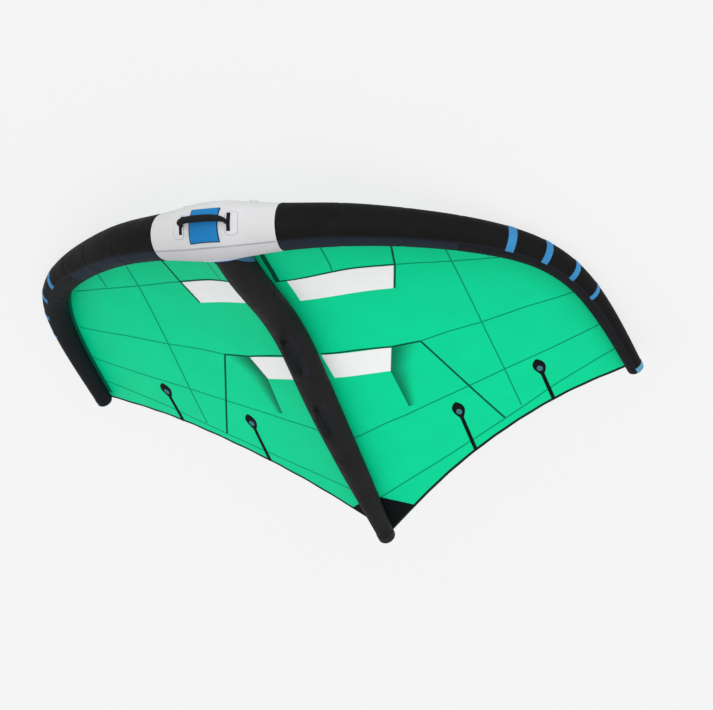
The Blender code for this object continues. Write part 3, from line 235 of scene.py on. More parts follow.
def tube_grid(shares, turns, height):
    """Points on the leading edge, rows along it and columns round it.

    Each point is the centre plus the radius times (cosine of the turn times up, less sine of the
    turn times aft). The turn is from straight up towards the front. A girth seam draws the tube in
    by a bell curve, with small gathers round it. The shares are one for each row, or a whole grid.
    """
    shares, turns = np.reshape(shares, (len(shares), -1)), np.asarray(turns, float)
    centre, radius = tube_line(shares)
    ahead, behind = (tube_line(np.clip(shares + step, -1, 1))[0] for step in (1e-4, -1e-4))
    along = unit(ahead - behind)
    aft = unit(np.cross([0, 0, 1], along))
    up = np.cross(along, aft)
    pinch = pinch_depth * bells(np.abs(shares), girth_seam_shares, pinch_reach)
    gather = gather_height * bells(np.abs(shares), girth_seam_shares, gather_reach)
    grow = radius + height - pinch + gather * np.sin(gathers_round * turns)
    out = np.cos(turns)[..., None] * up - np.sin(turns)[..., None] * aft
    return centre + grow[..., None] * out


def panel_line(share):
    """Turn at which the lighter upper panel meets the front panel."""
    return np.radians(np.interp(np.abs(share), panel_line_shares, panel_line_degrees))


def finished(name, points, faces, corners, material, sharp=35):
    """A mesh object in its place, turned face outwards, with the cloth's own metres as its UV map.

    The faces point outwards when the volume that they enclose, summed over the two triangles of
    each face, is above zero. A face of three corners counts its last one twice.
    """
    points = np.asarray(points, float)
    fours = [[*face, *face[-1:] * (4 - len(face))] for face in faces]
    a, b, c, d = points[fours].transpose(1, 0, 2)
    if np.einsum("ij,ij->", a, np.cross(b, c) + np.cross(c, d)) < 0:
        faces = [face[::-1] for face in faces]
        corners = [corner[::-1] for corner in corners]
    mesh = bpy.data.meshes.new(name)
    mesh.from_pydata(points.tolist(), [], faces)
    mesh.uv_layers.new(name="cloth").data.foreach_set("uv", np.concatenate(corners).ravel())
    mesh.polygons.foreach_set("use_smooth", [True] * len(mesh.polygons))
    mesh.set_sharp_from_angle(angle=math.radians(sharp))
    mesh.materials.append(material)
    piece = bpy.data.objects.new(name, mesh)
    bpy.context.scene.collection.objects.link(piece)
    return piece


def squares_of(grid):
    """The corners of each square of a grid, in their order round the square."""
    corners = [grid[:-1, :-1], grid[:-1, 1:], grid[1:, 1:], grid[1:, :-1]]
    return np.stack(corners, axis=-1).reshape(-1, 4)


def paired(first, second):
    """A grid of pairs from two grids, or from a column and a row."""
    return np.stack(np.broadcast_arrays(first, second), axis=-1)


def ring_piece(name, rings, material, flat=None, sharp=35):
    """A closed tube through rows of rings: neighbours are joined, and a fan closes each end.

    The flat grid has one more column than the rings, and gives the cloth's metres at each point.
    """
    rows, columns = rings.shape[:2]
    if flat is None:
        step = np.linalg.norm(rings[0, 1] - rings[0, 0])
        flat = paired(run_along(rings.mean(axis=1))[:, None], step * np.arange(columns + 1))
    flat = flat.reshape(-1, 2)
    index = np.arange(rows * columns).reshape(rows, columns)
    index = np.column_stack([index, index[:, :1]])
    place = np.arange(rows * (columns + 1)).reshape(rows, columns + 1)
    points, faces = [rings.reshape(-1, 3)], squares_of(index).tolist()
    corners = list(flat[squares_of(place)])
    for row, turn in ((0, -1), (rows - 1, 1)):
        hub = np.full(columns, rows * columns + (row > 0))
        points.append(rings[row].mean(axis=0)[None])
        fan = np.column_stack([index[row, :-1], index[row, 1:], hub])[:, ::turn]
        spot = np.column_stack([place[row, :-1], place[row, 1:], place[row, :-1]])[:, ::turn]
        faces += fan.tolist()
        corners += list(flat[spot])
    return finished(name, np.concatenate(points), faces, corners, material, sharp)


def sheet_piece(name, outer, inner, material, flat, kept=None, sharp=35):
    """A closed sheet between an outer and an inner grid of points.

    Each kept square of the grid gives an outer and an inner face, and each edge that only one kept
    square has gets a face that joins the two sides.
    """
    under = outer.shape[0] * outer.shape[1]
    squares = squares_of(np.arange(under).reshape(outer.shape[:2]))
    if kept is not None:
        squares = squares[kept.ravel()]
    edges = np.stack([squares, np.roll(squares, -1, axis=1)], axis=-1).reshape(-1, 2)
    found = np.unique(np.sort(edges, axis=1), axis=0, return_index=True, return_counts=True)
    rim = edges[found[1][found[2] == 1]]
    sides = np.column_stack([rim[:, 1], rim[:, 0], rim[:, 0] + under, rim[:, 1] + under])
    faces = np.concatenate([squares, squares[:, ::-1] + under, sides])
    used, short = np.unique(faces, return_inverse=True)
    points = np.concatenate([outer.reshape(-1, 3), inner.reshape(-1, 3)])[used]
    corners = list(np.concatenate([flat.reshape(-1, 2)] * 2)[faces])
    return finished(name, points, short.reshape(-1, 4).tolist(), corners, material, sharp)


def cloth_place(tree):
    """The cloth's own metres, along it and across it."""
    return wire(tree, "ShaderNodeUVMap", uv_map="cloth").outputs[0]


def noise(tree, scale, detail):
    """A noise fixed to the piece: its blotches are about one metre over the scale."""
    own = wire(tree, "ShaderNodeTexCoord").outputs["Object"]
    made = wire(tree, "ShaderNodeTexNoise", {"Vector": own, "Scale": scale, "Detail": detail})
    return made.outputs["Fac"]


def around(tree, value, middle, spread):
    """A noise, which lies mostly from 0.3 to 0.7, carried over to the spread about a middle."""
    return ranged(tree, value, 0.3, 0.7, middle - spread, middle + spread)


def tinted(tree, colour, tone):
    """A colour made lighter or darker by a tone about 1."""
    scaled = {0: colour, "Scale": tone}
    return wire(tree, "ShaderNodeVectorMath", scaled, operation="SCALE").outputs[0]


def blended(tree, share, first, second):
    """The first colour, turned into the second by the share."""
    return wire(tree, "ShaderNodeMix", {0: share, 6: first, 7: second}, data_type="RGBA").outputs[2]


def bump(tree, height, distance, strength, **under):
    """Relief of that distance in metres, on top of another relief where one is given."""
    inputs = {"Height": height, "Distance": distance, "Strength": strength, **under}
    return wire(tree, "ShaderNodeBump", inputs).outputs[0]


def cloth(name, colour, roughness=0.62, thread=0.0012, depth=0.00012, mottle=0.10):
    """Woven cloth with no print: crossed threads as bump, and a soft unevenness of tone.

    The threads are two sine waves along the cloth's own metres, and the tone is a broad noise.
    """
    material, tree, shader = blank_material(name)
    wave = {"Vector": cloth_place(tree), "Scale": math.tau / (20 * thread)}
    warp, weft = (wire(tree, "ShaderNodeTexWave", wave, bands_direction=way) for way in "XY")
    threads = maths(tree, "MULTIPLY", warp.outputs["Fac"], weft.outputs["Fac"])
    crease = noise(tree, 26, 2)
    looks = {
        "Base Color": tinted(tree, colour, around(tree, noise(tree, 7, 3), 1, mottle)),
        "Roughness": around(tree, crease, roughness, 0.06),
        "Normal": bump(tree, crease, 0.0012, 0.35, Normal=bump(tree, threads, depth, 0.7)),
        "Specular IOR Level": 0.06,
    }
    feed(tree, shader, looks)
    return material


def panelled_cloth(name, front, upper, outer, thread_colour, mottle):
    """Sleeve cloth in panels that meet along the panel line, with a double row of stitches there.

    The cloth's second metre counts across from the line, so the upper panel is where it is above
    zero. Past the last girth seam the upper panel is of the outer colour. A stitch shows where the
    distance from the line is 4 mm, for 3 of every 5 mm along it.
    """
    material = cloth(name, front, mottle=mottle)
    tree = material.node_tree
    tone = tree.nodes["Principled BSDF"].inputs["Base Color"]
    along, across = wire(tree, "ShaderNodeSeparateXYZ", {0: cloth_place(tree)}).outputs[:2]
    last_seam = girth_seam_shares[-1] * metres_of_half
    past = maths(tree, "GREATER_THAN", maths(tree, "ABSOLUTE", along), last_seam)
    top = blended(tree, past, (*upper, 1), (*outer, 1))
    above = maths(tree, "GREATER_THAN", across, 0)
    panels = blended(tree, above, tone.links[0].from_socket, top)
    row = maths(tree, "COMPARE", maths(tree, "ABSOLUTE", across), stitch_offset, stitch_half)
    beat = maths(tree, "FRACT", maths(tree, "MULTIPLY", along, 1 / stitch_step))
    stitch = maths(tree, "MULTIPLY", row, maths(tree, "LESS_THAN", beat, stitch_share))
    tree.links.new(blended(tree, stitch, panels, (*thread_colour, 1)), tone)
    return material


def sleeve(name, first, last, height, material):
    """One length of the leading edge's sleeve, with rows close together at its seams and ends.

    Near the white length's ends each row runs outward by 14 mm, less 18 mm times the cosine of the
    turn from the middle of the front, so that the end seam dips in at the front. Over the last 6 mm
    the cloth is drawn in by a square law.
    """
    row_step, seam_rows = 0.008, np.linspace(-0.012, 0.012, 13)
    outward, dip, front_middle, dip_reach = 0.0138, 0.018, math.radians(54), 0.10
    end_draw, end_reach = 0.003, 0.006
    rows = [np.arange(first, last, row_step), [first, last]]
    rows += [side * seam + seam_rows for seam in girth_seam_shares for side in (1, -1)]
    shares = np.unique(np.round(np.concatenate(rows), 5))
    shares = shares[(shares >= first) & (shares <= last)][:, None]
    turns = attach_angle - math.pi + np.linspace(0, math.tau, 97)
    dipped = outward - dip * np.maximum(np.cos(turns[:-1] - front_middle), 0)
    near = np.clip(1 - np.abs(np.abs(shares) - white_end_share) / dip_reach, 0, 1) * np.sign(shares)
    bent = np.clip(shares + near * dipped / metres_of_half, -1, 1)
    ends = np.minimum(shares - first, last - shares) * metres_of_half
    drawn = end_draw * (1 - np.clip(ends / end_reach, 0, 1)) ** 2
    across = (panel_line(shares) - turns) * tube_line(shares)[1]
    rings = tube_grid(bent, turns[:-1], height - drawn)
    piece = ring_piece(name, rings, material, paired(tube_length(shares), across))
    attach(piece, "wing")
    return piece


# The white's upper panel is given a darker tone than its front: painted shade.
white_tones_and_shade = (0.575, 0.575, 0.585), (0.54, 0.54, 0.555), (0.54, 0.54, 0.555), (0.32, 0.34, 0.37)
black_front, black_upper = (0.0070, 0.0068, 0.0066), (0.013, 0.020, 0.032)
black_outer, black_thread = (0.0085, 0.0100, 0.0120), (0.03, 0.04, 0.06)
black_tones = black_front, black_upper, black_outer, black_thread
white_cloth = panelled_cloth("white_sleeve_cloth", *white_tones_and_shade, mottle=0.03)
black_cloth = panelled_cloth("black_sleeve_cloth", *black_tones, mottle=0.12)
overlap, black_lift = 0.004, 0.0008
middle_end, black_start = white_end_share + overlap, white_end_share
sleeve_middle = sleeve("sleeve_middle", -middle_end, middle_end, 0, white_cloth)
sleeve_left = sleeve("sleeve_left", black_start, tip_end_share, black_lift, black_cloth)
sleeve_right = sleeve("sleeve_right", -tip_end_share, -black_start, black_lift, black_cloth)
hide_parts("leading_edge_sleeve_centre", "leading_edge_bladder")
parts = ("inner", "middle", "outer")
for word, piece in (("left", sleeve_left), ("right", sleeve_right)):
    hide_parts(*(f"leading_edge_sleeve_{part}_{word}" for part in parts))


# Seam tapes on the leading edge
# Narrow tape of the sleeve's own cloth is glued and sewn over the panel line and over each girth
# seam.
halves = (("left", 1), ("right", -1))


def laid_sheet(name, surface, metres, low, high, material):
    """A sheet laid on a curved surface, between two heights over it.

    The surface gives the points at any heights. The edge columns and rows are rounded off to half
    height, as a folded cloth edge is.
    """
    rise = np.full(metres.shape[:2], float(high))
    rise[[0, -1]] = (low + high) / 2
    rise[:, [0, -1]] = (low + high) / 2
    piece = sheet_piece(name, surface(rise), surface(low), material, metres, sharp=60)
    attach(piece, "wing")
    return piece


def tube_patch(name, shares, turns, low, high, material):
    """A sheet laid on the leading edge: rows along it, columns round it."""
    metres = paired(tube_length(shares)[:, None], turns * tube_line(shares)[1][:, None])
    return laid_sheet(name, partial(tube_grid, shares, turns), metres, low, high, material)


def panel_tape(name, first, last, width, height, material):
    """Tape along the panel line, half its width to each side of it."""
    shares = np.linspace(first, last, max(12, int(abs(last - first) * 160)))
    spread = np.linspace(-0.5, 0.5, 5) * width / tube_line(shares)[1][:, None]
    turns = panel_line(shares)[:, None] + spread
    return tube_patch(name, shares, turns, height - 0.0006, height + 0.0007, material)


tape_white = cloth("white_tape_cloth", (0.34, 0.36, 0.39), thread=0.0010)
tape_black = cloth("black_tape_cloth", (0.010, 0.012, 0.017), thread=0.0010)
panel_tape("panel_tape_middle", -0.117, 0.117, 0.006, 0, tape_white)
panel_tape("panel_tape_left", 0.122, 0.985, 0.010, black_lift, tape_black)
panel_tape("panel_tape_right", -0.122, -0.985, 0.010, black_lift, tape_black)
girth_tape_width, girth_tape_height = 0.0030, 0.0018
girth_turns = attach_angle - math.pi + np.radians(np.linspace(2, 358, 90))
for number, share in enumerate(girth_seam_shares):
    for word, side in halves:
        shares = side * share + np.linspace(-0.5, 0.5, 5) * girth_tape_width / metres_of_half
        name = f"girth_tape_{number}_{word}"
        tape = tube_patch(name, shares, girth_turns, 0, girth_tape_height, tape_black)


# Blue stripes and tip cups
# Four bands of light blue cloth on a dark backing are sewn across the front of each tip. The tube
# ends in a shallow black cup with a light blue scuff patch.
stripe_shares = (0.548, 0.622, 0.692, 0.759)
stripe_widths = (0.036, 0.031, 0.027, 0.022)
stripe_turns = (24, 148)
stripe_blue = cloth("stripe_blue_cloth", (0.040, 0.215, 0.45), roughness=0.5)
backing_navy = cloth("stripe_backing_cloth", (0.008, 0.018, 0.045), roughness=0.6)
cup_length, cup_depth, cup_hub, cup_height = 0.030, 0.005, 0.12, 0.0018
scuff_turns = (28, 152)
tip_black = cloth("tip_cup_cloth", (0.008, 0.009, 0.011), roughness=0.5)
tip_blue = cloth("tip_blue_cloth", (0.107, 0.30, 0.445), roughness=0.5)


def stripe(number, share, width, side, word):
    """A blue band across the front, on a backing that stands out 3 mm all round it."""
    radius = tube_line(np.array([side * share]))[1][0]
    first, last = np.radians(stripe_turns)
    for kind, grow, low, high, material in (
        ("backing", 0.003, 0.0006, 0.0014, backing_navy),
        ("blue", 0, 0.0012, 0.0022, stripe_blue),
    ):
        half = (width / 2 + grow) / metres_of_half
        shares = side * share + np.linspace(-half, half, 9)
        turns = np.linspace(first - grow / radius, last + grow / radius, 40)
        piece = tube_patch(f"stripe_{kind}_{number}_{word}", shares, turns, low, high, material)


def domed(straight, axis, depth, hub):
    """The straight rings, then rings that close in to a hub as a quarter of an ellipse."""
    centre = straight[-1].mean(axis=0)
    bend = np.linspace(0, math.pi / 2, 9)[1:, None, None]
    closing = centre + (straight[-1] - centre) * (hub + (1 - hub) * np.cos(bend))
    return np.concatenate([straight, closing + np.asarray(axis) * depth * np.sin(bend)])


def tip_cup(word, side):
    """A cup over the last 30 mm of the tube, with a scuff patch round its outer side."""
    start = tip_end_share - cup_length / metres_of_half
    shares = side * np.linspace(start, tip_end_share, 6)
    straight = tube_grid(shares, np.linspace(0, math.tau, 49)[:-1], cup_height)
    centre = tube_line(shares)[0]
    axis = unit(centre[-1] - centre[-2])
    cup = ring_piece(f"tip_cup_{word}", domed(straight, axis, cup_depth, cup_hub), tip_black)
    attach(cup, "wing")
    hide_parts(f"tip_cap_{word}")
    shares = side * np.linspace(start, tip_end_share, 7)
    turns = np.radians(np.linspace(*scuff_turns, 29))
    scuff = tube_patch(f"tip_scuff_patch_{word}", shares, turns, 0.0015, 0.0030, tip_blue)


for word, side in halves:
    tip_cup(word, side)
    for number, (share, width) in enumerate(zip(stripe_shares, stripe_widths)):
        stripe(number, share, width, side, word)


# Knuckle pad and handle patches
# A soft blue pad is glued on the front of the tube under the handle, with a dark bound edge. A pale
# patch with rounded corners strengthens the sleeve under each end of the handle.
pad_share, pad_turns = 0.0275, (30, 100)
pad_length, pad_height, pad_base, pad_edge = 0.057, 0.076, 0.0003, 0.002
crown_height, groove_depth, groove_turn = 0.008, 0.0006, 9
least_kept, kept_more, upright_bow = 0.844, 0.046, 0.04
binding_radius = 0.0024
patch_corner_angle = 0.15
pad_foam = cloth(
    "hand_pad_foam", (0.014, 0.175, 0.43), roughness=0.7, thread=0.003, depth=0.0003, mottle=0.06
)
binding = cloth("pad_binding_cloth", (0.003, 0.010, 0.030), roughness=0.6)


def knuckle_pad():
    """A cushion on the tube: its height is 8 mm times the fourth root of (1 - u^6)(1 - v^6).

    Five grooves of 0.6 mm run up it. Each point keeps a share of 0.844 plus 0.046 times v^2 of its
    distance from the middle column, so the two ends bow in. Its upper and lower edges bow in by a
    share of 0.04. It gives back the points of its edge.
    """
    u, v = np.meshgrid(np.linspace(-1, 1, 33), np.linspace(-1, 1, 41), indexing="ij")
    groove = groove_depth * np.cos(groove_turn * u) ** 8 * (1 - v**8)
    crown = pad_edge + crown_height * ((1 - u**6) * (1 - v**6)).clip(0) ** 0.25 - groove
    first, last = np.radians(pad_turns)
    turns = (first + last) / 2 + (last - first) / 2 * v * (1 - upright_bow * (1 - u**2))
    kept = (least_kept + kept_more * v**2)[..., None]
    sides = []
    for height in (crown, pad_base):
        grid = tube_grid(pad_share * u[:, 0], turns, height)
        middle = grid[len(grid) // 2]
        sides.append(middle + (grid - middle) * kept)
    metres = paired(u * pad_length, v * pad_height)
    pad = sheet_piece("hand_pad", *sides, pad_foam, metres, sharp=70)
    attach(pad, "wing")
    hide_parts("knuckle_pad")
    top = sides[0]
    return np.concatenate([top[:, 0], top[-1, 1:], top[-2::-1, -1], top[0, -2:0:-1]])


def round_rings(path, side, other, width, height, count):
    """Ellipses along a path: width times cosine to one side, height times sine to the other."""
    angle = np.linspace(0, math.tau, count + 1)[:-1, None]
    across = width * np.cos(angle) * np.reshape(side, (-1, 1, 3))
    return path[:, None] + across + height * np.sin(angle) * np.reshape(other, (-1, 1, 3))


def edge_cord(name, path, radius, material):
    """A closed loop of cord: a circle carried round the path, square to it at each point.

    The weave is drawn 1.8 times as fine round the cord as along it.
    """
    count, fineness = 10, 1.8
    along = unit(np.roll(path, -1, axis=0) - np.roll(path, 1, axis=0))
    side = path - path.mean(axis=0)
    side = unit(side - along * np.einsum("ij,ij->i", side, along)[:, None])
    rings = round_rings(path, side, np.cross(along, side), radius, radius, count)
    index = np.arange(len(path) * count).reshape(-1, count)
    index = np.pad(index, ((0, 1), (0, 1)), mode="wrap")
    run = np.linalg.norm(path[1] - path[0]) * np.arange(len(path) + 1)
    girth = fineness * math.tau * radius * np.arange(count + 1) / count
    metres = paired(run[:, None], girth).reshape(-1, 2)
    corners = list(metres[squares_of(np.arange(len(metres)).reshape(index.shape))])
    piece = finished(name, rings.reshape(-1, 3), squares_of(index).tolist(), corners, material)
    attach(piece, "wing")
    return piece


edge_cord("hand_pad_binding", knuckle_pad(), binding_radius, binding)


def rounded_patch(name, side, share_span, turn_span, corner, low, high, material):
    """A patch with round corners: near its ends each row is shorter by the corner's circle."""
    bend = np.linspace(patch_corner_angle, math.pi - patch_corner_angle, 29)
    first, last = np.radians(turn_span)
    rise = np.concatenate([[0], 1 - np.cos(bend), [2]]) / 2 * (last - first) * centre_radius
    depth = np.clip(corner - np.minimum(rise, rise[-1] - rise), 0, corner)
    short = corner - np.sqrt(corner**2 - depth**2)
    half = (share_span[1] - share_span[0]) / 2 - short / metres_of_half
    shares = side * sum(share_span) / 2 + np.linspace(-1, 1, 15)[:, None] * half
    turns = first + rise / centre_radius
    outer, inner = (tube_grid(shares, turns, level) for level in (high, low))
    metres = paired(shares * metres_of_half, rise)
    piece = sheet_piece(name, outer, inner, material, metres, sharp=60)
    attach(piece, "wing")


patch_line = cloth("patch_edge_cloth", (0.37, 0.38, 0.40), thread=0.0010)
patch_white = cloth("patch_cloth", (0.565, 0.565, 0.58), thread=0.0016)
edge_sizes = (0.0340, 0.0560), (41, 92), 0.019, 0, 0.0011
patch_sizes = (0.0350, 0.0550), (42.2, 90.8), 0.017, 0.0008, 0.0018
for word, side in halves:
    rounded_patch(f"handle_patch_edge_{word}", side, *edge_sizes, patch_line)
    rounded_patch(f"handle_patch_{word}", side, *patch_sizes, patch_white)


# Handles
# Each handle is a padded bar in a knitted black cover. Its ends narrow to webbing legs, which swing
# in webbing loops. Each loop stands on a webbing tab that is sewn to the sleeve.
grip_radius, leg_radius, leg_end, leg_end_radius = 0.0153, 0.0061, 0.0033, 0.0045
arch_power, pivot_height, thickness_power = 2.6, 0.0145, 0.6
tab_low, tab_high = 0.0003, 0.0040
stitch_ring_turn, stitch_ring_depth, stitch_ring_reach = 0.42, 0.0012, 0.035
ridge_height, ridge_reach = 0.0009, 0.16
knit = cloth(
    "grip_knit", (0.012, 0.012, 0.0135), roughness=0.75, thread=0.0022, depth=0.0005, mottle=0.15
)
webbing = cloth("foot_webbing", (0.010, 0.010, 0.012), roughness=0.6, thread=0.0018, depth=0.0003)
front_pivots = (-0.10502, -1.04501, 0.34855), (0.10502, -1.04501, 0.34855)
strut_pivots = {
    "strut_front_handle": ((0, -0.20873, 0.37392), (0, -0.01852, 0.40305)),
    "strut_rear_handle": ((0, 0.19864, 0.45218), (0, 0.34716, 0.48153)),
}


def handle_grip(handle, pivots, lean, reach):
    """A bar along a superellipse arch between its pivots, thickest in the middle.

    The cross-section is a circle with a low ridge along its inner side, where the cover is sewn.
    Two rings of stitching draw the cover in at the ends of the padded length.
    """
    pivots, lean = np.array(pivots), np.array(lean)
    length = np.linalg.norm(pivots[1] - pivots[0])
    axis = unit(pivots[1] - pivots[0])
    turn, bend = np.linspace(0, math.pi, 81), 2 / arch_power
    travel = length / 2 * (1 - np.sign(np.cos(turn)) * np.abs(np.cos(turn)) ** bend)
    height = (reach - pivot_height) * np.abs(np.sin(turn)) ** bend
    turn, travel = (np.pad(each, 1, mode="edge") for each in (turn, travel))
    height = np.pad(height, 1, constant_values=-leg_end)
    path = pivots[0] + travel[:, None] * axis + height[:, None] * lean
    side = np.cross(axis, lean)
    other = unit(np.cross(unit(np.gradient(path, axis=0)), side))
    thick = np.sin(turn) ** thickness_power
    radii = leg_radius + (grip_radius - leg_radius) * thick
    radii[[0, -1]] = leg_end_radius
    rings_of_stitching = (stitch_ring_turn, math.pi - stitch_ring_turn)
    radii -= stitch_ring_depth * bells(turn, rings_of_stitching, stitch_ring_reach)
    angle = np.linspace(0, math.tau, 33)[:-1]
    ridge = ridge_height * bells(angle, (math.pi / 2,), ridge_reach)
    grow = (radii[:, None] + ridge * thick[:, None])[..., None]
    rings = round_rings(path, side, other, grow, grow, len(angle))
    grip = ring_piece(f"{handle}_bar", rings, knit, sharp=70)
    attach(grip, handle)
    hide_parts(f"{handle}_grip")


handle_grip("front_handle", front_pivots, (0, -0.9653, 0.2611), 0.066)
for handle, lean in (
    ("strut_front_handle", (-0.5, -0.1311, 0.8560)),
    ("strut_rear_handle", (-0.5, -0.1679, 0.8496)),
):
    handle_grip(handle, strut_pivots[handle], lean, 0.052)


def webbing_loop(name, pivot, axis, rise):
    """A band folded over the pivot: a half circle on top of a neck that widens down to the tab.

    The outline is drawn square to the pivot's axis, and is carried along the axis. It is 14 mm
    wide, with its edges rounded off.
    """
    fold_radius, neck, foot = 0.0075, (0.0077, -0.0055), (0.0100, 0.0030 - pivot_height)
    offsets = np.array([-0.0070, -0.0066, -0.0056, 0.0056, 0.0066, 0.0070])[:, None, None]
    sizes = np.array([0.90, 0.96, 1, 1, 0.96, 0.90])[:, None, None]
    bend = np.linspace(-math.pi / 2, math.pi / 2, 17)
    fold = fold_radius * np.column_stack([np.sin(bend), np.cos(bend)])
    mirror = np.array([-1, 1])
    outline = np.concatenate([[mirror * foot, mirror * neck], fold, [neck, foot]])
    middle = np.array([0, -0.004])
    flat = middle + sizes * (outline - middle)
    rings = pivot + offsets * axis + flat[..., :1] * np.cross(axis, rise) + flat[..., 1:] * rise
    loop = ring_piece(name, rings, webbing, sharp=40)
    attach(loop, "wing")


def front_foot(word, side, pivot):
    """A webbing tab round the tube's girth under one end of the front handle, and its loop."""
    foot_share, half_width, foot_turns = 0.0405, 0.007, (50, 88)
    shares = side * foot_share + np.linspace(-half_width, half_width, 9) / metres_of_half
    turns = np.radians(np.linspace(*foot_turns, 21))
    tab = tube_patch(f"front_foot_tab_{word}", shares, turns, tab_low, tab_high, webbing)
    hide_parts(f"front_handle_foot_{word}")
    rise = pivot - tube_line(np.array([side * foot_share]))[0][0]
    rise[0] = 0
    webbing_loop(f"front_foot_loop_{word}", pivot, np.array([1, 0, 0]), unit(rise))


front_foot("left", 1, np.array(front_pivots[1]))
front_foot("right", -1, np.array(front_pivots[0]))


# Strut
# The strut is a second blown-up tube of black cloth. It leaves the leading edge through a light
# blue collar, follows the canopy's middle, and ends in a moulded black cap.
strut_start, strut_length, canopy_chord, strut_middle_radius = 0.05, 2.014, 2.040, 0.0704
strut_height_shares = (0, 0.0046, 0.0009, -0.0079, -0.0027, 0.0193)
strut_height_shares += (0.0427, 0.0631, 0.0824, 0.1013, 0.1202)
strut_radius_shares = (1.13, 1.06, 1.009, 0.989, 1, 0.999, 0.952, 0.866, 0.761, 0.646, 0.54)
strut_seams = (0.431, 0.985, 1.452, 1.760)
strut_pinch_depth, strut_pinch_reach = 0.0018, 0.008
strut_gather_height, strut_gather_reach, strut_gathers_round = 0.0004, 0.024, 11
strut_row_step, under_relief = 0.016, 0.35
swell_height, swell_places = 0.006, (0.14, 0.30, 1.60, 1.95)


def even_spline(values, end, at):
    """Natural cubic curve through values at even steps from 0 to the end."""
    return spline(np.linspace(0, end, len(values)), values, at)


def strut_line(y):
    """Height of the strut's centre line and its radius at a distance aft of the leading edge."""
    height = canopy_chord * even_spline(strut_height_shares, canopy_chord, y)
    return height, strut_middle_radius * even_spline(strut_radius_shares, canopy_chord, y)


def strut_grid(places, turns, height):
    """Points on the strut: upright rings round its centre line, drawn in at each girth seam.

    The turn t is from straight up towards the wing's left half. The cloth swells sideways by 6 mm
    times the square of sin t times 1 + cos t, less towards the root and the tail. Pinch and gathers
    fade to a share of 0.35 underneath. The places are one for each row, or a whole grid.
    """
    places, turns = np.broadcast_arrays(np.reshape(places, (len(places), -1)), turns)
    centre, radius = strut_line(places)
    swell = swell_height * np.interp(places, swell_places, (0, 1, 1, 0))
    pinch = strut_pinch_depth * bells(places, strut_seams, strut_pinch_reach)
    gather = strut_gather_height * bells(places, strut_seams, strut_gather_reach)
    relief = gather * np.sin(strut_gathers_round * turns) - pinch
    share = under_relief + (1 - under_relief) * np.cos(turns / 2) ** 2
    grow = radius + height + relief * share
    x = (grow + swell * np.sin(turns) ** 2 * (1 + np.cos(turns))) * np.sin(turns)
    return np.stack([x, places, centre + grow * np.cos(turns)], axis=-1) + ground


def strut_patch(name, places, turns, low, high, material):
    """A sheet laid on the strut, with one place for each row or a whole grid of them."""
    metres = paired(np.reshape(places, (len(places), -1)), turns * strut_middle_radius)
    return laid_sheet(name, partial(strut_grid, places, turns), metres, low, high, material)


strut_cloth = cloth("strut_cloth", (0.0145, 0.0140, 0.0150), roughness=0.55, mottle=0.16)
strut_tape_cloth = cloth("strut_tape_cloth", (0.017, 0.018, 0.022), thread=0.0010)
rows = [np.arange(strut_start, strut_length, strut_row_step), [strut_length]]
rows += [seam + strut_gather_reach * np.linspace(-1, 1, 13) for seam in strut_seams]
places = np.unique(np.round(np.concatenate(rows), 4))
turns = np.linspace(0, math.tau, 73)
flat = paired(places[:, None], turns * strut_middle_radius)
strut_tube = ring_piece("strut_tube", strut_grid(places, turns[:-1], 0), strut_cloth, flat)
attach(strut_tube, "wing")
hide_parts("strut_sleeve", "strut_bladder")
tape_turns, patch_turns, tab_turns = (np.radians((-end, end)) for end in (150, 38, 11))
tape_half_width, tape_height, patch_height = 0.0025, 0.0016, 0.0012
tab_half_length, strut_tab_high = 0.017, 0.0038
for number, seam in enumerate(strut_seams):
    places = seam + tape_half_width * np.linspace(-1, 1, 5)
    name, turns = f"strut_girth_tape_{number}", np.linspace(*tape_turns, 61)
    tape = strut_patch(name, places, turns, 0, tape_height, strut_tape_cloth)
for number, ends in enumerate(((0.700, 0.945), (1.110, 1.300))):
    name, turns = f"strut_handle_patch_{number}", np.linspace(*patch_turns, 23)
    places = np.linspace(*ends, 19)
    patch = strut_patch(name, places, turns, 0, patch_height, strut_tape_cloth)
for handle, pivots in strut_pivots.items():
    axis = unit(np.subtract(pivots[1], pivots[0]))
    for word, pivot in zip(("front", "rear"), pivots):
        places = pivot[1] - ground[1] + tab_half_length * np.linspace(-1, 1, 9)
        turns = np.linspace(*tab_turns, 9)
        name = f"{handle}_foot_tab_{word}"
        tab = strut_patch(name, places, turns, tab_low, strut_tab_high, webbing)
        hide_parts(f"{handle}_foot_{word}")
        webbing_loop(f"{handle}_foot_loop_{word}", pivot, axis, np.cross((1, 0, 0), axis))


# Collar at the strut's root
# A light blue band is sewn round the strut where it leaves the leading edge, and sweeps back along
# the strut's flanks. A pale flange on the white sleeve runs round the joint; its blue-grey tint is
# painted shade on white cloth.
joint_place = 0.11
collar_blue = cloth("collar_blue_cloth", (0.045, 0.155, 0.27), roughness=0.5)
# The flange is white cloth; its blue-grey tint is painted shade.
flange_shaded_cloth = cloth("root_flange_shaded_cloth", (0.54, 0.57, 0.69), roughness=0.55, mottle=0.03)


def joint_line(turns):
    """Where the strut leaves the leading edge: shares, turns on the tube, and distances aft.

    At each turn round the strut the point's height above the tube's centre line, over the tube's
    radius, is the cosine of its turn on the tube.
    """
    root_height, root_radius = strut_line(joint_place)
    steps = np.linspace(-0.1, 0.1, 201)
    shares = np.interp(root_radius * np.sin(turns), tube_line(steps)[0][:, 0], steps)
    centre, radius = tube_line(shares)
    _, y, z = (centre - ground).T
    rise = root_height + root_radius * np.cos(turns) - z
    return shares, -np.arccos(np.clip(rise / radius, -1, 1)), y + np.sqrt(radius**2 - rise**2)


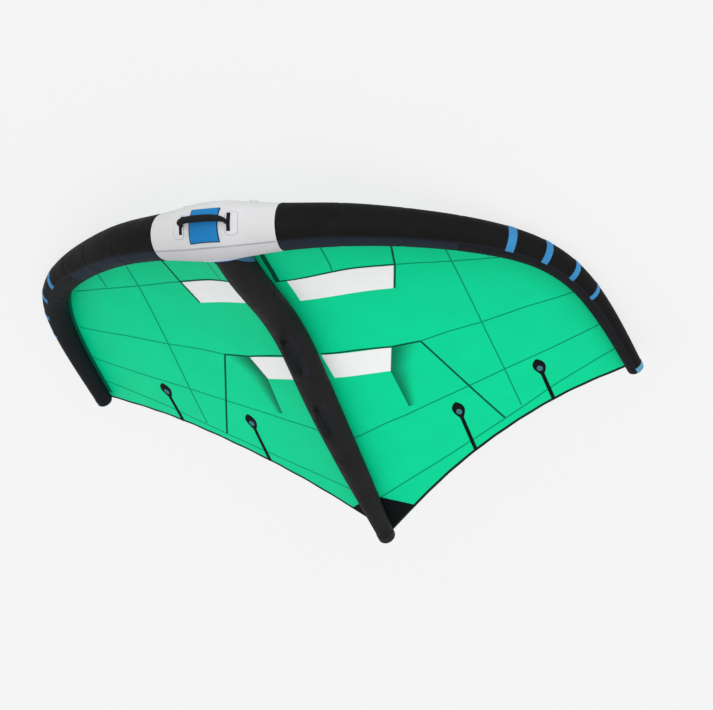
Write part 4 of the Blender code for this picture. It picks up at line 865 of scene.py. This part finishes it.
def root_collar():
    """A band from the joint aft: 10 mm wide on top, and wider by 1.5 mm a degree on the flanks."""
    under, low, top_width, more_width, edge_width = 0.006, 0.0002, 0.010, 0.090, 0.005
    last_turn, flank_start, flank_turn = np.radians((128, 40, 60))
    turns = np.linspace(-last_turn, last_turn, 97)
    joint = joint_line(turns)[2]
    width = top_width + more_width * np.clip((np.abs(turns) - flank_start) / flank_turn, 0, 1)
    share = np.linspace(0, 1, 13)[:, None]
    band = joint - under + (width + under) * share
    collar = strut_patch("root_collar", band, turns, low, 0.0026, collar_blue)
    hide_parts("strut_collar")
    edge = joint + width + edge_width * share
    piece = strut_patch("root_collar_edge", edge, turns, low, 0.0024, backing_navy)


def root_flange():
    """A ring of pale cloth round the joint: 12 mm wide, and up to 72 mm on its upper side."""
    under, least_width, more_width, height, rim_height = 0.003, 0.012, 0.060, 0.0022, 0.0012
    shares, tube_turns, _ = joint_line(np.linspace(0, math.tau, 97))
    middle = tube_turns.mean()
    away = paired(shares * metres_of_half, (tube_turns - middle) * centre_radius)
    far = np.linalg.norm(away, axis=-1)
    width = least_width + more_width * np.clip(away[:, 1] / far, 0, 1) ** 2
    grow = 1 + (np.linspace(0, 1, 9)[:, None] * (width + under) - under) / far
    spread = away * grow[..., None]
    rise = np.full(spread.shape[:2], height)
    rise[-1] = rim_height
    places, turns = spread[..., 0] / metres_of_half, middle + spread[..., 1] / centre_radius
    outer, inner = (tube_grid(places, turns, level) for level in (rise, 0.0002))
    flange = sheet_piece("root_flange", outer, inner, flange_shaded_cloth, spread, sharp=60)
    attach(flange, "wing")


root_collar()
root_flange()


# Tail cap
# The strut ends in a moulded black rubber cap with a domed face, which is pushed over its last
# 30 mm and glued.
tail_rubber = cloth(
    "tail_cap_rubber", (0.020, 0.020, 0.022), roughness=0.5, thread=0.0008, depth=0.00004
)
tail_length, tail_depth, tail_hub, tail_height = 0.030, 0.022, 0.15, 0.0018
places = np.linspace(strut_length - tail_length, strut_length, 7)
straight = strut_grid(places, np.linspace(0, math.tau, 49)[:-1], tail_height)
tail_cap = ring_piece("tail_cap", domed(straight, (0, 1, 0), tail_depth, tail_hub), tail_rubber)
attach(tail_cap, "wing")
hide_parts("strut_tail_cap")


# Canopy
# One sheet of green ripstop cloth is sewn to the tube in front, drawn down over the strut's keel
# and hemmed at the back. It bellies between them, and four clear windows are let into it.
canopy_thickness = 0.0012
trailing_y_shares = (1, 0.8905, 0.8042, 0.7472, 0.7153)
trailing_height, trailing_height_shares = 0.2073, (1, 0.329, -0.232, -0.753, -1.192)
camber, camber_shares = 0.1104, (0.820, 1, 0.831, 0.197, 0)
fullness_shares, lean_shares = (0.694, 0.488, 0.623), (-0.148, 0.127, 0.055)
keel_blend, keel_gap = 0.38, 0.0006
canopy_end_share = 0.985
# Each ripple has a height, a length across the span, and a reach from its edge
hem_ripple, front_ripple = (0.0011, 0.13, 0.05), (0.0009, 0.09, 0.04)
sewn_shares = np.linspace(0, 1, 401)
sewn_line = tube_grid(sewn_shares, [attach_angle - math.pi], 0)[:, 0] - ground


def front_edge(x):
    """Distance aft and height of the sewn line, at a distance from the middle."""
    return tuple(np.interp(x, sewn_line[:, 0], sewn_line[:, k]) for k in (1, 2))


def trailing_edge(x):
    """Distance aft and height of the trailing edge, at a distance from the middle."""
    back = canopy_chord * even_spline(trailing_y_shares, half_span, x)
    return back, trailing_height * even_spline(trailing_height_shares, half_span, x)


def ripple(x, away, height, length, reach):
    """A low wave across the span, which dies out by a power of e away from its edge."""
    return height * np.sin(math.tau * x / length) * np.exp(-away / reach)


def canopy_height(x, y):
    """Height of the canopy's strut side.

    Each fore and aft section is a straight line from the leading edge to the trailing edge, less a
    belly of camber times the sine of a bent share of the chord. Towards the middle the section
    turns into the underside of the strut. Low ripples run in from the sewn edges.
    """
    x = np.abs(x)
    (front, front_height), (back, back_height) = front_edge(x), trailing_edge(x)
    share = np.clip((y - front) / np.maximum(back - front, 1e-6), 0, 1)
    full, lean = (even_spline(each, half_span, x) for each in (fullness_shares, lean_shares))
    depth = camber * even_spline(camber_shares, half_span, x)
    belly = depth * np.sin(math.pi * share**full) * (1 - lean * share)
    middle_front, middle_back = front_edge(0), trailing_edge(0)
    along, level = (a * (1 - share) + b * share for a, b in zip(middle_front, middle_back))
    strut_height, strut_radius = strut_line(along)
    keel = strut_height - strut_radius - keel_gap - level
    blend = np.clip(x / keel_blend, 0, 1)
    blend = blend * blend * (3 - 2 * blend)
    chord = front_height * (1 - share) + back_height * share
    ripples = ripple(x, 1 - share, *hem_ripple) + ripple(x, share, *front_ripple) * (share > 0)
    return chord + (1 - blend) * keel - blend * (belly - ripples)


def on_canopy(x, y, lift):
    """Points over the canopy's strut side by the lift, in the wing's place on the ground."""
    return np.stack([x, y, canopy_height(x, y) + lift], axis=-1) + ground


def canopy_sheet(name, x, y, high, low, material, metres=None, kept=None, sharp=60):
    """A closed sheet between two heights over the canopy's strut side."""
    x, y = np.broadcast_arrays(x, y)
    metres = paired(x, y) if metres is None else metres
    outer, inner = on_canopy(x, y, high), on_canopy(x, y, low)
    piece = sheet_piece(name, outer, inner, material, metres, kept, sharp)
    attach(piece, "wing")
    return piece


# Fore and aft lines of the window edges: distances from the middle at the front edge and the sill
upper_inner, upper_outer = (0.0851, 0.0798), (0.5214, 0.4748)
lower_inner, lower_outer = (0.0479, 0.0625), (0.3498, 0.3032)
# Crosswise lines of the window edges: a share of the chord in the middle, and its slope per half
# span, which runs out at the last distance from the middle
window_lines = ((0.2289, 0.1738), (0.3100, 0.1347), (0.4752, 0.1322), (0.5408, 0.1326))
window_lines_end = 0.60
outer_columns_start = 0.36
rows_between = (16, 6, 14, 6, 28)
columns_between = (3, 2, 14, 8, 46)


def canopy_places():
    """Places of the canopy's grid on one half, as distances from the middle and distances aft.

    Rows follow the windows' front edges and sills, columns follow their ends, and both are shared
    out evenly between. The outer columns follow even steps along the leading edge.
    """
    parts = [k + np.arange(n) / n for k, n in enumerate(rows_between)]
    level = np.concatenate([*parts, [len(rows_between)]])
    borders = [np.zeros_like(level)]
    ends = ((3, lower_inner), (1, upper_inner), (3, lower_outer), (1, upper_outer))
    for row, (first, last) in ends:
        borders.append(first + (last - first) * np.clip(level - row, 0, 1))
    columns = [borders[0][:, None]]
    for start, end, n in zip(borders, borders[1:], columns_between):
        columns.append(start[:, None] + (end - start)[:, None] * np.arange(1, n + 1) / n)
    outer = np.linspace(outer_columns_start, canopy_end_share, columns_between[-1] + 1)
    reach = np.interp(outer, sewn_shares, sewn_line[:, 0])
    rest = (reach[1:] - reach[0]) / (reach[-1] - reach[0])
    columns.append(borders[-1][:, None] + (reach[-1] - borders[-1])[:, None] * rest)
    x = np.concatenate(columns, axis=1)
    held = np.minimum(x, window_lines_end)
    start, end = front_edge(held)[0], trailing_edge(held)[0]
    lines = [(a + b * held / half_span) * canopy_chord for a, b in window_lines]
    lines = [(line - start) / (end - start) for line in lines]
    lines = np.stack([np.zeros_like(x), *lines, np.ones_like(x)])
    low = np.clip(level.astype(int), 0, len(window_lines))
    part = (level - low)[:, None]
    row = np.arange(len(level))
    share = lines[low, row] * (1 - part) + lines[low + 1, row] * part
    front, back = front_edge(x)[0], trailing_edge(x)[0]
    return x, front + (back - front) * share


def ripstop(name, colour, thread_and_shade_colour):
    """Ripstop sailcloth: fine threads, with a heavier thread every 8 mm each way.

    A heavier thread is where the cloth's metres, counted in steps of 8 mm, have a fraction over
    0.88. A wedge of painted shade starts at a straight border beside the lower window and fades
    outward.
    """
    thread_step, thread_start, thread_weight = 0.008, 0.88, 0.10
    wedge_top, wedge_knee, wedge_end, wedge_weight = 1.040, 1.160, 1.377, 0.90
    material = cloth(name, colour, roughness=0.46, thread=0.0016, depth=0.00008, mottle=0.03)
    tree = material.node_tree
    tone = tree.nodes["Principled BSDF"].inputs["Base Color"]
    metres = wire(tree, "ShaderNodeSeparateXYZ", {0: cloth_place(tree)}).outputs[:2]
    beats = (maths(tree, "FRACT", maths(tree, "MULTIPLY", way, 1 / thread_step)) for way in metres)
    lines = (maths(tree, "GREATER_THAN", beat, thread_start) for beat in beats)
    weak = maths(tree, "MULTIPLY", maths(tree, "MAXIMUM", *lines), thread_weight)
    heavy = blended(tree, weak, tone.links[0].from_socket, (*thread_and_shade_colour, 1))
    out, aft = maths(tree, "ABSOLUTE", metres[0]), metres[1]
    # Painted shade: a wedge darkened beside each lower window, fading outward.
    first = ranged(tree, aft, 1.037, wedge_knee, 0.350, 0.303)
    second = ranged(tree, aft, wedge_knee, wedge_end, 0, 0.011)
    away = maths(tree, "SUBTRACT", out, maths(tree, "ADD", first, second))
    gone = maths(tree, "DIVIDE", away, ranged(tree, aft, 1.04, 1.40, 0.150, 0.030))
    fade = ranged(tree, gone, 0, 1, wedge_weight, 0, interpolation_type="SMOOTHSTEP")
    behind_end = maths(tree, "LESS_THAN", aft, wedge_end)
    for value, edge in ((away, 0), (aft, wedge_top)):
        fade = maths(tree, "MULTIPLY", fade, maths(tree, "GREATER_THAN", value, edge))
    fade = maths(tree, "MULTIPLY", fade, behind_end)
    tree.links.new(blended(tree, fade, heavy, (*thread_and_shade_colour, 1)), tone)
    return material


# The green cloth's wedge beside each lower window is painted shade.
green_cloth = ripstop("green_ripstop_cloth", (0.001, 0.66, 0.30), (0.0, 0.13, 0.065))
half_x, half_y = canopy_places()
canopy_x = np.concatenate([-half_x[:, :0:-1], half_x], axis=1)
canopy_y = np.concatenate([half_y[:, :0:-1], half_y], axis=1)
row_borders, column_borders = (
    np.concatenate([[0], np.cumsum(between)]) for between in (rows_between, columns_between)
)
half_rows, half_columns = half_x.shape[0] - 1, half_x.shape[1] - 1
kept = np.ones((half_rows, 2 * half_columns), bool)
window_squares = {
    "upper": (row_borders[1], row_borders[2], column_borders[2], column_borders[4]),
    "lower": (row_borders[3], row_borders[4], column_borders[1], column_borders[3]),
}
for top, sill, first, last in window_squares.values():
    kept[top:sill, half_columns + first : half_columns + last] = False
    kept[top:sill, half_columns - last : half_columns - first] = False
canopy = canopy_sheet(
    "canopy", canopy_x, canopy_y, 0, -canopy_thickness, green_cloth, kept=kept, sharp=35
)
panels = ("front", "middle", "outer", "rear_inner", "rear_outer", "rear")
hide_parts(*(f"canopy_{part}_panel_{word}" for part in panels for word, _ in halves))


# Windows
# Each window is a pane of clear film, cut wider than its opening by 8 mm all round and sewn to the
# cloth's underside.
window_overlap, film_thickness, film_gap = 0.008, 0.0006, 0.0001
pane_heights = np.array([0, -film_thickness]) - canopy_thickness - film_gap


def window_film():
    """Clear film: mostly see-through, smooth, with a faint milkiness and shallow waves."""
    material, tree, shader = blank_material("window_film")
    wave = noise(tree, 9, 1)
    milk, relief = around(tree, wave, 0.54, 0.04), bump(tree, wave, 0.002, 0.3)
    film = {"Base Color": (0.97, 0.975, 0.98, 1), "Roughness": 0.12}
    feed(tree, shader, {**film, "Alpha": milk, "Normal": relief})
    return material


clear_film = window_film()
for place, (top, sill, first, last) in window_squares.items():
    for word, side in halves:
        x, y = (each[top : sill + 1, first : last + 1].copy() for each in (half_x, half_y))
        x[:, 0] -= window_overlap
        x[:, -1] += window_overlap
        y[0] -= window_overlap
        y[-1] += window_overlap
        high, low = pane_heights
        name, metres = f"{place}_pane_{word}", paired(x, y)
        pane = canopy_sheet(name, side * x, y, high, low, clear_film, metres, sharp=35)
        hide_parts(f"{place}_window_{word}")


# Seams and hem of the canopy
# The panels are joined by flat sewn seams, which show as darker green lines. The seams at the
# windows' front edges and the long diagonal are doubled, and the trailing edge has a black hem.
# The wide dark band beside the strut's root is partly a seam and partly painted shade, and a dark
# green band of painted shade runs along the sewn line under the leading edge.
def square_to(line):
    """The direction square to a line in plan, at each of its points."""
    along = unit(np.gradient(line, axis=0))
    return np.column_stack([-along[:, 1], along[:, 0]])


def canopy_tapes(kind, paths, word, side, width, lift, material):
    """Flat tapes on one half of the canopy, along paths of distances from the middle and aft.

    Each path is read every 12 mm. The tape is half its width to each side of it, square to it in
    plan, and its edges are at 0.6 of its height.
    """
    step, low = 0.012, 0.00002
    spread, rise = np.linspace(-0.5, 0.5, 3) * width, lift * np.array([0.6, 1, 0.6])
    for key, path in paths.items():
        points = np.asarray(path) * (side, 1)
        run = run_along(points)
        steps = np.linspace(0, run[-1], max(3, int(run[-1] / step)))
        line = np.column_stack([np.interp(steps, run, way) for way in points.T])
        grid = line[:, None] + spread[:, None] * square_to(line)[:, None]
        name, metres = f"{kind}{key}_{word}", paired(steps[:, None], spread)
        piece = canopy_sheet(name, *np.moveaxis(grid, -1, 0), rise, low, material, metres)


seam_green = cloth("seam_green_cloth", (0.0, 0.30, 0.150), thread=0.0010, mottle=0.05)
double_green = cloth("double_seam_green_cloth", (0.0, 0.085, 0.045), thread=0.0010, mottle=0.05)
# Painted shade: the luff band is a dark green strip along the sewn line, where the tube shades the
# canopy.
luff_shade_green = cloth("luff_band_cloth", (0.0, 0.19, 0.10), thread=0.0012, mottle=0.05)
lower_points = (0.012, 1.468), (0.188, 1.432), (0.292, 1.419), (0.604, 1.345), (0.783, 1.300)
hem_points = (0.012, 1.834), (0.345, 1.717), (0.554, 1.632), (0.792, 1.533), (0.967, 1.455)
middle_points = (0.482, 1.045), (0.611, 1.029), (0.772, 1.016), (0.991, 0.976), (1.206, 0.955)
outer_points = (0.760, 0.420), (0.762, 0.649), (0.772, 1.016)
seams = {
    "upper": [(0.5214, 0.603), (0.668, 0.635), (0.762, 0.649), (0.978, 0.665), (1.115, 0.688)],
    "middle": [*middle_points, (1.225, 0.95)],
    "lower": [*lower_points, (1.019, 1.242), (1.231, 1.183), (1.262, 1.168)],
    "hem_side": [*hem_points, (1.233, 1.353), (1.283, 1.335)],
    "outer_chordwise": [*outer_points, (0.783, 1.300), (0.788, 1.523)],
    "inner_chordwise": [(0.284, 0.300), (0.277, 0.480), (0.269, 0.535)],
    "outer_short": [(0.928, 0.500), (0.931, 0.650)],
}
double_seams = {
    "upper_window_front": [(0.040, 0.4765), (0.075, 0.4846), (0.30, 0.5443), (0.5214, 0.603)],
    "upper_window_side": [(0.575, 0.360), (0.5214, 0.603), (0.4748, 0.728)],
    "middle": [(0.050, 0.9745), (0.202, 1.001), (0.350, 1.037), (0.482, 1.045)],
    "diagonal": [(0.482, 1.045), (0.697, 1.568)],
}
# Beside the strut's root a wide dark band: partly the seam, partly painted shade beside the strut.
strut_seam_and_shade = [(0.076, 0.175), (0.074, 0.200), (0.060, 0.400), (0.050, 0.480)]
# Path of the band of painted shade, 13 mm off the sewn line.
luff_places, luff_offset = np.linspace(0.46, 0.980, 60), 0.013
luff_line = np.column_stack([np.interp(luff_places, sewn_shares, sewn_line[:, k]) for k in (0, 1)])
luff_line += luff_offset * square_to(luff_line)
for half in halves:
    canopy_tapes("seam_", seams, *half, 0.0065, 0.0007, seam_green)
    canopy_tapes("double_seam_", double_seams, *half, 0.009, 0.0009, double_green)
    canopy_tapes("strut_seam_and_shade", {"": strut_seam_and_shade}, *half, 0.020, 0.0008, double_green)
    canopy_tapes("luff_band", {"": luff_line}, *half, 0.024, 0.0005, luff_shade_green)
hem_cloth = cloth("hem_cloth", (0.010, 0.018, 0.015), thread=0.0012)
hem_start, hem_end, hem_inset, hem_drop = 0.001, 1.312, 0.006, 0.0006
hem_half_depth, hem_half_height = 0.007, 0.0022


def hem(word, side):
    """The hem: an ellipse 14 mm deep and 4.4 mm thick, carried along the trailing edge."""
    x = np.linspace(hem_start, hem_end, 120)
    y = trailing_edge(x)[0] - hem_inset
    middle = on_canopy(side * x, y, -hem_drop)
    along = unit(np.gradient(middle, axis=0))
    aft = unit(np.cross([0, 0, 1], along)) * side
    up = np.cross(along, aft) * side
    rings = round_rings(middle, aft, up, hem_half_depth, hem_half_height, 16)
    piece = ring_piece(f"hem_{word}", rings, hem_cloth)
    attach(piece, "wing")
    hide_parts(f"trailing_edge_hem_{word}")


for word, side in halves:
    hem(word, side)


# Corner patches and batten pockets
# Black patches strengthen the canopy's rear corner beside the strut. Two battens on each half lie
# in black pockets with drop-shaped heads, and each head has a small blue-grey window.
patch_black = cloth("patch_black_cloth", (0.0035, 0.0055, 0.0055), thread=0.0014)
eye_blue = cloth("pocket_eye_cloth", (0.047, 0.174, 0.199), thread=0.0014)
patch_base = 0.00005
drop_length, drop_half_width, strip_half_width, least_half_width = 0.105, 0.028, 0.0085, 0.0006
pocket_edge, pocket_crown, pocket_clearance = 0.0006, 0.0024, 0.004
eye_place, eye_half_width, eye_half_length, eye_low, eye_high = 0.054, 0.013, 0.017, 0.0022, 0.0034


def corner_patch(word, side):
    """A patch that runs from a slanting front edge back to 10 mm before the trailing edge."""
    start, width, height, least_length, clearance = 0.0005, 0.150, 0.0016, 0.006, 0.010
    front_start, front_slant = 1.806, 0.113
    x = np.linspace(start, width, 17)
    front = front_start + front_slant * x / width
    length = np.maximum(trailing_edge(x)[0] - clearance - front, least_length)
    y = front + length * np.linspace(0, 1, 15)[:, None]
    piece = canopy_sheet(f"rear_patch_{word}", side * x, y, height, patch_base, patch_black)
    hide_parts(f"corner_patch_{word}")


def batten_pocket(word, side, name, x_middle, top):
    """A pocket whose half width is a drop near its head and a narrow strip behind it.

    The drop's half width is 28 mm times the sine of pi times the share along it to the power 0.75.
    """
    back = trailing_edge(x_middle)[0] - pocket_clearance
    drop = drop_length * (1 - np.cos(np.linspace(0, math.pi, 25))) / 2
    y = np.concatenate([top + drop, np.linspace(top + drop_length + 0.010, back, 10)])[:, None]
    share = np.clip((y - top) / drop_length, 0, 1)
    half = drop_half_width * np.sin(math.pi * share**0.75)
    half = np.maximum(half, np.where(share > 0.5, strip_half_width, least_half_width))
    across = np.linspace(-1, 1, 13)
    x, high = side * (x_middle + half * across), pocket_edge + pocket_crown * (1 - across**4)
    pocket = canopy_sheet(f"pocket_{name}_{word}", x, y, high, patch_base, patch_black)
    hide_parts(f"batten_pocket_{name}_{word}", f"batten_{name}_{word}")
    turn = np.append(np.linspace(0, math.tau, 25)[:-1], 0)
    spot = np.linspace(0.02, 1, 5)[:, None]
    x = side * (x_middle + eye_half_width * spot * np.cos(turn))
    y = top + eye_place + eye_half_length * spot * np.sin(turn)
    high = eye_high - 0.0005 * spot**4
    canopy_sheet(f"pocket_eye_{name}_{word}", x, y, high, eye_low, eye_blue)


for word, side in halves:
    corner_patch(word, side)
    batten_pocket(word, side, "inner", 0.518, 1.416)
    batten_pocket(word, side, "outer", 0.930, 1.287)


# Hard fittings
# Both valves are moulded in pale grey plastic. A short black hose runs from a nozzle on the leading
# edge to one on the strut's flank, and is pushed over both.
def moulded(name, colour, roughness):
    """Moulded plastic or rubber: a fine grain as bump and a slight unevenness of tone and gloss."""
    material, tree, shader = blank_material(name)
    cloud = noise(tree, 40, 2)
    looks = {
        "Base Color": tinted(tree, colour, around(tree, cloud, 1, 0.12)),
        "Roughness": around(tree, cloud, roughness, 0.07),
        "Normal": bump(tree, noise(tree, 900, 2), 0.0002, 0.3),
    }
    feed(tree, shader, looks)
    return material


def air_hose():
    """A tube on a cubic curve between the nozzles, with a low rib every 4 mm."""
    overlap, lead, rib_step, rib_height, hose_radius = 0.0100, 0.030, 0.004, 0.0006, 0.0078
    t = np.linspace(0, 1, 141)[:, None]
    start, end = hose_start + overlap * start_out, hose_end + overlap * end_out
    path = (1 - t) ** 3 * start + 3 * (1 - t) ** 2 * t * (start + lead * start_out)
    path += 3 * (1 - t) * t**2 * (end + lead * end_out) + t**3 * end
    along = unit(np.gradient(path, axis=0))
    side = np.cross(start_out, end_out)
    side = unit(side - along * (along @ side)[:, None])
    radius = hose_radius + rib_height * np.cos(math.tau * run_along(path) / rib_step)
    radius = radius[:, None, None]
    rings = round_rings(path, side, np.cross(along, side), radius, radius, 32)
    hose = ring_piece("filling_hose", rings, hose_rubber, sharp=80)
    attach(hose, "wing")
    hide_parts("air_hose")


def nozzle(word, place, out):
    """A flange 23 mm wide with a rounded rim, a cone, and a neck that the hose is pushed over.

    It is turned: a circle of each step's radius, carried to its height along the axis.
    """
    heights = (-0.0100, -0.0002, 0, 0.0006, 0.0016, 0.0028, 0.0034, 0.0050, 0.0090, 0.0104)
    radii = (0.0070, 0.0070, 0.0106, 0.0113, 0.0115, 0.0114, 0.0108, 0.0096, 0.0086, 0.0084)
    path, radius = place + unit(out) * np.array(heights)[:, None], np.array(radii)[:, None, None]
    side = unit(np.cross(out, (0.3, 0.2, 0.9)))
    rings = round_rings(path, side, np.cross(unit(out), side), radius, radius, 48)
    piece = ring_piece(f"nozzle_{word}", rings, nozzle_plastic)
    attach(piece, "wing")
    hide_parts(f"hose_fitting_{word}")


hose_start, start_out = np.array(
    [(0.097445, -0.806299, 0.288110), (-0.049052, 0.995502, -0.081049)]
)
hose_end, end_out = np.array([(0.062701, -0.696779, 0.276741), (0.865998, 0.007901, -0.499984)])
valve_plastic = moulded("valve_plastic", (0.60, 0.60, 0.61), 0.45)
nozzle_plastic = moulded("nozzle_plastic", (0.022, 0.022, 0.024), 0.4)
hose_rubber = moulded("hose_rubber", (0.018, 0.018, 0.019), 0.6)
air_hose()
nozzle("tube", hose_start, start_out)
nozzle("strut", hose_end, end_out)
for name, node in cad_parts.items():
    if "valve" in name:
        node.data.materials.clear()
        node.data.materials.append(valve_plastic)
